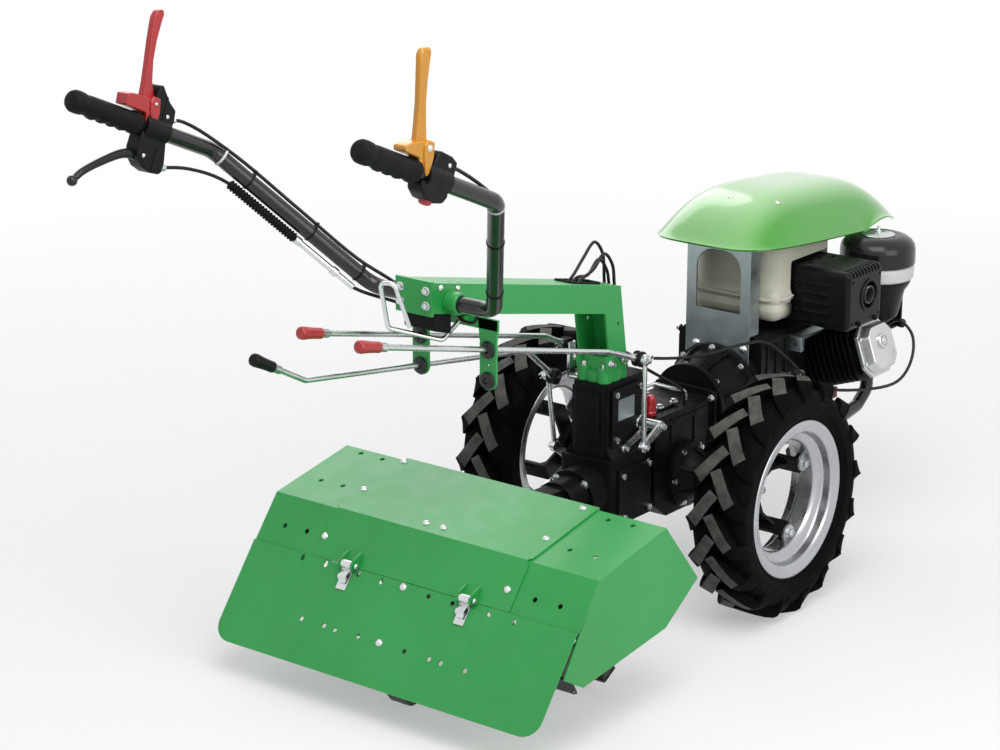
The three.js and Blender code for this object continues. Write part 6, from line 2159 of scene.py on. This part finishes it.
        arm = Bench.tube(
            "throttle_link", filleted([mm(x - 12, y - 28, 410), mm(x - 26, y - 42, 416), mm(x - 40, y - 30, 430)], 5),
            1.6, 3
        )
        dress(Bench.smooth(arm, 60), Finishes.ZINC, "zinc")

    def tank(self) -> None:
        """The pale moulded tank with its seam, and the folded zinc bracket behind it."""
        lower = self.rounded("lower", (234, -106, 462), (460, 106, 508), 30, 6)
        lower_fill = self.rounded("middle", (235, -105, 486), (459, 105, 530), 26, 6)
        upper = self.rounded("upper", (239, -101, 470), (455, 101, 638), 44, 8)
        seam = block("seam", mm(229, -111, 504.5), mm(465, 111, 511.5), 3.4, 3)
        corners = self.rounded("corner", (229, -111, 460), (465, 111, 556), 46, 8)
        Bench.cut(seam, corners, keep="INTERSECT")
        room = block("room", mm(290, -232, 444), mm(435, -28, 576), 6, 3)
        shell = Bench.merged("tank_shell", lower_fill, upper)
        Bench.modify(shell, "REMESH", mode="VOXEL", voxel_size=2.5 * MM, adaptivity=0.0, use_smooth_shade=True)
        Bench.modify(shell, "SMOOTH", factor=0.6, iterations=8)
        Bench.cut(shell, lower, keep="UNION")
        Bench.cut(shell, seam, keep="UNION")
        Bench.cut(shell, room)
        dress(Bench.smooth(shell, 40), Finishes.TANK, "tank_plastic", "fuel_tank")
        bracket = Bench.refined("tank_bracket", 0.0)
        drill = Bench.drill(3.4)
        Bench.cut(
            bracket, Bench.copied("drills", drill, [facing(mm(194, y, z), X) for y, z in ((44, 389), (-56, 389))])
        )
        dress(Bench.round(bracket, 0.7, 2), Finishes.SHEET_ZINC, "zinc")
        Fasteners.set(
            "bracket_bolts", Fasteners.dome(8.4, 5.4),
            [facing(mm(192.8, 47, 411), -X), facing(mm(192.8, -60, 416), -X)]
        )

    def bonnet(self) -> None:
        """The glossy domed bonnet, a thin shell with a rolled lip."""
        rear, front, half, skirt, crown, lift, sheet = 112, 698, 139, 586, 680, 45, 4
        corner, flatness, edge, cells = 4, 3.8, 1.2, 72
        arch_rise, arch_x, arch_reach = 20, 585, 80
        Bench.clear()
        bpy.ops.mesh.primitive_grid_add(x_subdivisions=cells, y_subdivisions=cells, size=2)
        shell = bpy.context.object
        shell.name = "bonnet_shell"
        middle, length = (rear + front) / 2, (front - rear) / 2
        for vertex in shell.data.vertices:
            a, b = vertex.co.x, vertex.co.y
            far = max(abs(a), abs(b), 1e-6)
            reach = math.sin(far * math.pi / 2)
            share = reach / max(1, abs(a / far) ** corner + abs(b / far) ** corner) ** (1 / corner)
            x, y = middle + a / far * share * length, b / far * share * half
            lip = skirt + lift * ((front - x) / (front - rear))
            over_filter = max(0.0, -y / half) ** 2 * max(0.0, 1 - ((x - arch_x) / arch_reach) ** 2)
            arch = arch_rise * reach ** 10 * over_filter
            rise = max(0.0, 1 - reach ** flatness) ** edge * (crown - skirt)
            vertex.co = mm(x, y, lip + arch + rise)
        Bench.modify(shell, "SOLIDIFY", thickness=sheet * MM, offset=-1.0, use_even_offset=False)
        Bench.settle(shell)
        Bench.round(shell, 1.0, 2, 50)
        Bench.smooth(shell, 60)
        # The lime finish paints a pale highlight onto the bonnet's upward faces
        dress(shell, Finishes.LIME, "lime_plastic", "bonnet")

        def on_top(x: float, y: float) -> Vector:
            """The point of the bonnet's top over a place."""
            near = min(
                shell.data.vertices,
                key=lambda w: (w.co.x - mm(x, y, 0).x) ** 2 + (w.co.y - y * MM) ** 2 - w.co.z * 0.0004
            )
            return near.co

        spots = []
        for x, y in ((226, 2), (267, -82)):
            near = on_top(x, y)
            spots.append(facing(near - Z * 0.0004, Vector((-0.1, -0.1 if y < 0 else 0.05, 1))))
        Fasteners.set("bonnet_bolts", Fasteners.dome(5.4, 3.0), spots)

    def ends(self) -> None:
        """The recoil starter's cover with its vents, and the bumper tube."""
        profile = [(0, 480), (90, 480), (92, 484), (88, 506), (80, 520), (64, 540), (56, 543.5), (0, 544.6)]
        cover = Bench.turned("recoil_dome", profile, mm(0, 0, self.crank_z), X, 80, 1.4)
        slot = block("slot", mm(500, -4, self.crank_z + 46), mm(560, 4, self.crank_z + 74), 1.6)
        at = mm(0, 0, self.crank_z)
        Bench.cut(cover, Bench.copied("slots", slot, around(at, "X", 12)))
        shroud = Bench.refined("recoil_cover", 0.0)
        keep = block("keep", mm(465, -120, 200), mm(487, 120, 460), 0.0)
        Bench.cut(shroud, keep, keep="INTERSECT")
        Bench.round(shroud, 2.4, 3)
        inner = Bench.turned("drum", [(0, 486), (42, 486), (42, 536), (0, 536)], at, X, 48)
        dress(Bench.merged("recoil_dome", cover, shroud, inner), Finishes.POWDER, "black_steel", "recoil_cover")
        bolts = [facing(mm(486.2, y, self.crank_z + z), X) for y, z in ((-82, 92), (82, 92), (-82, -88), (82, -88))]
        Fasteners.set("recoil_bolts", Fasteners.hexagon(8, 5, 7), bolts)
        x = 582
        leg = [mm(300, 110, 190), mm(x - 37, 110, 226), mm(x, 110, 252), mm(x, 110, 300)]
        line = filleted(leg + [across(p) for p in reversed(leg)], 26, 8)
        tube = Bench.smooth(Bench.tube("bumper_tube", line, 13, 6), 60)
        dress(tube, Finishes.POWDER_GLOSS, "black_steel", "front_bumper")

    def build(self) -> None:
        """Builds the engine."""
        self.crankcase()
        self.cylinder()
        self.exhaust()
        self.filter()
        self.tank()
        self.bonnet()
        self.ends()


# ---------------------------------------------------------------- cables


@dataclass
class Cables:
    """The three control cables, their ferrules, sleeves, ties and the adjuster tube."""

    radius: float = 3.0
    column: Column = field(default_factory=Column)
    bar: Handlebar = field(default_factory=Handlebar)

    def on_riser(self, share: float, out: float, under: float) -> Vector:
        """A point beside the left riser, a share of the way down it, out and under in millimetres."""
        down = self.bar.low - self.bar.top
        run = down.normalized()
        below = (-Z + run * run.z).normalized()
        outward = below.cross(run).normalized()
        return self.bar.top + down * share + outward * out * MM + below * under * MM

    def through_beam(self, side: int, lane: float, ahead: float) -> Outline:
        """From the cross tube under the beam's wall, along the channel and out of its slot."""
        top = self.column.top
        entry = self.column.cross_x + ahead
        return [mm(entry + 2, side * 58, 655), mm(entry, side * 34, top(entry) - 60), mm(-611, lane, 668),
                mm(-540, lane, top(-540) - 18), mm(-330, lane, top(-330) - 14), mm(-290, lane, top(-290) - 10)]

    def over_post(self, lane: float, height: float) -> Outline:
        """The loop above the slot and down in front of the post."""
        top = self.column.top
        peak = top(-190) + height
        return [mm(-262, lane, top(-262) + 8), mm(-228, lane, peak - 22), mm(-196, lane, peak),
            mm(-170, lane, peak - 26),
                mm(-163, lane, top(-170) - 4), mm(-147, lane, 540), mm(-145, lane, 480)]

    def lay(self, name: str, points: Outline, node: str) -> None:
        """Args:
            name: The piece's name.
            points: What the cable passes through.
            node: The node that it stands for.
        """
        line = smoothed(points, 6)
        jacket = Bench.smooth(Bench.tube(name, line, self.radius, 3), 60)
        dress(jacket, Finishes.JACKET, "cable_jacket", node)

    def ferrule(
        self, name: str, at: Vector, way: Vector, radius: float = 4.6, length: float = 16.0
    ) -> bpy.types.Object:
        """A crimped metal end on a cable."""
        profile = [
            (3.05, 0), (radius, 0), (radius, length * 0.3), (radius - 0.7, length * 0.36),
            (radius - 0.7, length * 0.44), (radius, length * 0.5), (radius - 0.4, length - 1), (3.05, length),
            (3.05, 0)
        ]
        return dress(Bench.turned(name, profile, at, way, 28, 0.3), Finishes.ZINC, "zinc")

    def brake(self) -> None:
        """The brake cable, with its knobbly sleeve and bare adjuster tube on the riser."""
        gland = self.bar.at(self.bar.housings[0] + 56, 0, -57)
        under = self.bar.radius + 10
        top, end, tube_end = (self.on_riser(share, 4, under) for share in (0.16, 0.56, 0.93))
        middle = gland.lerp(top, 0.45) + Z * 0.010
        route = [gland, middle, top, end, end.lerp(tube_end, 0.5), tube_end, mm(self.column.cross_x + 26, 92, 664),
            *self.through_beam(1, 3, 26), *self.over_post(3, 44),
                 mm(-112, 8, 462), mm(-80, 20, 436), mm(-64, 34, 384), mm(-62, 34, 352)]
        run = end - top
        profile = [(3.05, 0)] + [
            (r, h) for k in range(int(run.length / MM // 6))
            for r, h in ((6.4, 6 * k + 0.5), (8.6, 6 * k + 2.4), (8.6, 6 * k + 4.2), (6.4, 6 * k + 6))
        ] + [(3.05, run.length / MM), (3.05, 0)]
        sleeve = Bench.smooth(Bench.turned("brake_cable_sleeve", profile, top, run, 28), 40)
        dress(sleeve, Finishes.RUBBER, "black_rubber")
        rest = tube_end - end
        long = rest.length / MM
        adjuster = Bench.turned(
            "brake_cable_adjuster",
            [
                (3.05, 1), (7.4, 1), (7.4, 12), (5.6, 13), (5.6, long * 0.62), (7.6, long * 0.62),
                (7.6, long * 0.62 + 12), (5, long * 0.62 + 13), (5, long - 2), (3.05, long - 1), (3.05, 1)
            ],
            end, rest, 32, 0.4
        )
        dress(adjuster, Finishes.ZINC, "zinc")
        way = (middle - gland).normalized()
        gland_piece = self.ferrule("brake_cable_gland", gland + way * 3 * MM, way, 6.2, 18)
        self.lay("brake_cable_jacket", route, "brake_cable")

    def upper_route(self, side: Side) -> Outline:
        """The way from a lever housing down its riser to the beam's side."""
        c = self.bar.of(self.bar.housings, side)
        beside = self.bar.radius + self.radius + 1
        points = [
            self.bar.at(c + 57.5, 0, 22), self.bar.at(c + 88, -8, 26), self.on_riser(0.1, -4, -beside),
            self.on_riser(0.5, -4, -beside), self.on_riser(0.86, -4, -beside)
        ]
        return points if side is Side.LEFT else [across(p) for p in points]

    def stop(self) -> None:
        """The engine-stop cable, from the left housing round the valve cover to the carburettor."""
        x = self.column.cross_x
        route = self.upper_route(Side.LEFT) + [mm(x + 24, 104, 700), mm(x + 36, 80, 680),
            *self.through_beam(1, 14, 38), *self.over_post(13, 74),
                 mm(-108, 16, 472), mm(-70, 2, 452), mm(40, -50, 436), mm(150, -84, 440), mm(
                     205, -100, 436
                 ), mm(262, -112, 396), mm(330, -150, 326), mm(385, -212, 318),
                 mm(440, -258, 330), mm(486, -262, 366), mm(508, -248, 408), mm(511, -216, 430), mm(513, -182, 410)]
        end = self.ferrule("stop_cable_ferrule", route[0], route[1] - route[0])
        self.lay("stop_cable_jacket", route, "stop_cable")

    def clutch(self) -> None:
        """The clutch cable, from the right housing to the transmission."""
        x = self.column.cross_x
        route = self.upper_route(Side.RIGHT) + [mm(x + 22, -104, 700), mm(x + 26, -76, 676),
            *self.through_beam(-1, -9, 30), *self.over_post(-9, 56),
                 mm(-112, -12, 462), mm(-76, -26, 434), mm(-20, -40, 398), mm(16, -44, 372), mm(20, -44, 347)]
        end = self.ferrule("clutch_cable_ferrule", route[0], route[1] - route[0])
        self.lay("clutch_cable_jacket", route, "clutch_cable")

    def tie(self, index: int, share: float, side: Side, finish: Finish, slot: str, wide: float = 4.0) -> None:
        """One strap round a riser and the cable that lies on it.

        Args:
            index: Its number.
            share: How far down the riser it sits.
            side: Which riser.
            finish: Its finish.
            slot: A slot name, passed on to dress, which does not use it.
            wide: Its width in millimetres.
        """
        run = (self.bar.low - self.bar.top).normalized()
        circles = [
            (self.on_riser(share, 0, 0), 14.6), (self.on_riser(share, -4, -self.bar.radius - self.radius - 1), 4.4)
        ]
        u = run.orthogonal().normalized()
        w = run.cross(u)
        outline = []
        for k in range(40):
            n = u * math.cos(TURN * k / 40) + w * math.sin(TURN * k / 40)
            centre, radius = max(circles, key=lambda c: c[0].dot(n) + c[1] * MM)
            outline.append(centre + n * radius * MM)
        if side is Side.RIGHT:
            outline, run = [across(p) for p in outline], across(run)
        band = Bench.slab(f"riser_tie_{index}", outline, run * wide * MM, 0.5)
        dress(Bench.smooth(band, 40), finish, slot)

    def ties(self) -> None:
        """The straps that hold the cables to the risers."""
        black, white = (Finishes.BLACK_PLASTIC, "black_plastic"), (Finishes.WHITE_BAND, "bare_aluminium")
        spots = ((0.05, Side.LEFT, white), (0.22, Side.LEFT, black), (0.6, Side.LEFT, black), (0.9, Side.LEFT, black),
                 (0.03, Side.RIGHT, white), (0.34, Side.RIGHT, black), (0.8, Side.RIGHT, black))
        for index, (share, side, (finish, slot)) in enumerate(spots):
            self.tie(index, share, side, finish, slot)

    def build(self) -> None:
        """Builds the cables."""
        self.brake()
        self.stop()
        self.clutch()
        self.ties()


# ---------------------------------------------------------------- studio


@dataclass
class Studio:
    """The pale floor, the soft lights and the camera."""

    position: tuple[float, float, float] = (-4002.98, -2710.84, 1884.92)
    yaw: float = 0.656757
    pitch: float = -0.298612
    roll: float = 0.002685
    lens: float = 97.52

    def camera(self) -> None:
        """Sets the camera."""
        data = bpy.data.cameras.new("camera")
        data.lens, data.sensor_width = self.lens, 36.0
        data.clip_start, data.clip_end = 0.1, 200
        camera = bpy.data.objects.new("camera", data)
        bpy.context.scene.collection.objects.link(camera)
        look = Vector(
            (
                math.cos(self.pitch) * math.cos(self.yaw), math.cos(self.pitch) * math.sin(self.yaw),
                math.sin(self.pitch)
            )
        )
        right = look.cross(Z).normalized()
        up = right.cross(look)
        turned = Matrix((right, up, -look)).transposed() @ Matrix.Rotation(self.roll, 3, "Z")
        camera.matrix_world = Matrix.Translation(mm(*self.position)) @ turned.to_4x4()
        bpy.context.scene.camera = camera

    @staticmethod
    def shown(graph: Graph) -> bpy.types.NodeSocket:
        """Whether a ray comes from the camera or a mirror or glass, as a value."""
        path = graph.add("ShaderNodeLightPath")
        first = graph.math("MAXIMUM", path.outputs["Is Camera Ray"], path.outputs["Is Glossy Ray"])
        return graph.math("MAXIMUM", first, path.outputs["Is Transmission Ray"])

    def world(self) -> None:
        """A white surround that lights softly."""
        world = bpy.data.worlds.new("studio")
        bpy.context.scene.world = world
        world.use_nodes = True
        graph = Graph(world.node_tree)
        background = world.node_tree.nodes["Background"]
        strength = graph.add(
            "ShaderNodeMapRange", {"Value": self.shown(graph), "To Min": 0.38, "To Max": 1.0}
        ).outputs["Result"]
        background.inputs["Color"].default_value = (1, 1, 1, 1)
        world.node_tree.links.new(strength, background.inputs["Strength"])

    def floor(self) -> None:
        """The pale floor, which keeps the machine's shadow."""
        Bench.clear()
        bpy.ops.mesh.primitive_plane_add(size=60, location=(0, 0, -0.0005))
        floor = Bench.settle(bpy.context.object)
        floor.name = "floor"
        material = bpy.data.materials.new("floor")
        material.use_nodes = True
        graph = Graph(material.node_tree)
        shader = material.node_tree.nodes["Principled BSDF"]
        vector = graph.add("ShaderNodeTexCoord").outputs["Object"]
        noise = graph.add("ShaderNodeTexNoise", {"Vector": vector, "Scale": 3.0, "Detail": 4.0})
        colour = graph.mix(noise.outputs[0], (0.93, 0.93, 0.93, 1), (0.95, 0.95, 0.95, 1))
        graph.tree.links.new(colour, shader.inputs["Base Color"])
        shader.inputs["Roughness"].default_value = 0.9
        shader.inputs["Specular IOR Level"].default_value = 0.1
        away = graph.add("ShaderNodeVectorMath", {0: vector}, operation="LENGTH").outputs["Value"]
        graph.tree.links.new(graph.ramp(away, 0.9, 3.4, 0.62, 0.0), shader.inputs["Alpha"])
        floor.data.materials.append(material)

    def lamp(
        self, name: str, place: tuple[float, float, float], aim: tuple[float, float, float], size: float, power: float
    ) -> None:
        """Sets one square soft lamp.

        Args:
            name: Its name.
            place: Where it hangs, in millimetres.
            aim: What it points at.
            size: Its side in metres.
            power: Its power in watts.
        """
        data = bpy.data.lights.new(name, "AREA")
        data.shape, data.size, data.energy = "SQUARE", size, power
        lamp = bpy.data.objects.new(name, data)
        bpy.context.scene.collection.objects.link(lamp)
        lamp.location = mm(*place)
        lamp.rotation_euler = (mm(*aim) - mm(*place)).to_track_quat("-Z", "Y").to_euler()

    def build(self) -> None:
        """Builds the studio."""
        self.camera()
        self.world()
        self.floor()
        self.lamp("key", (-1600, -1200, 3600), (-200, 0, 300), 2.6, 84)
        self.lamp("side", (-600, -3600, 1800), (-100, 0, 400), 2.4, 45)
        self.lamp("back", (1800, 2600, 2600), (0, 0, 500), 2.4, 33)
        scene = bpy.context.scene
        scene.view_settings.view_transform = "Standard"


def main() -> None:
    """Builds the machine around its frame."""
    for stage in (
        Studio(), Cables(), Wheel(Side.LEFT), Wheel(Side.RIGHT), TillerHood(), Rotor(), Gearbox(), Column(),
        Handlebar(), RodGear(), Engine()
    ):
        stage.build()
        LOG.info("%s done", type(stage).__name__)
    Bench.clear()


if __name__ == "__main__":
    main()
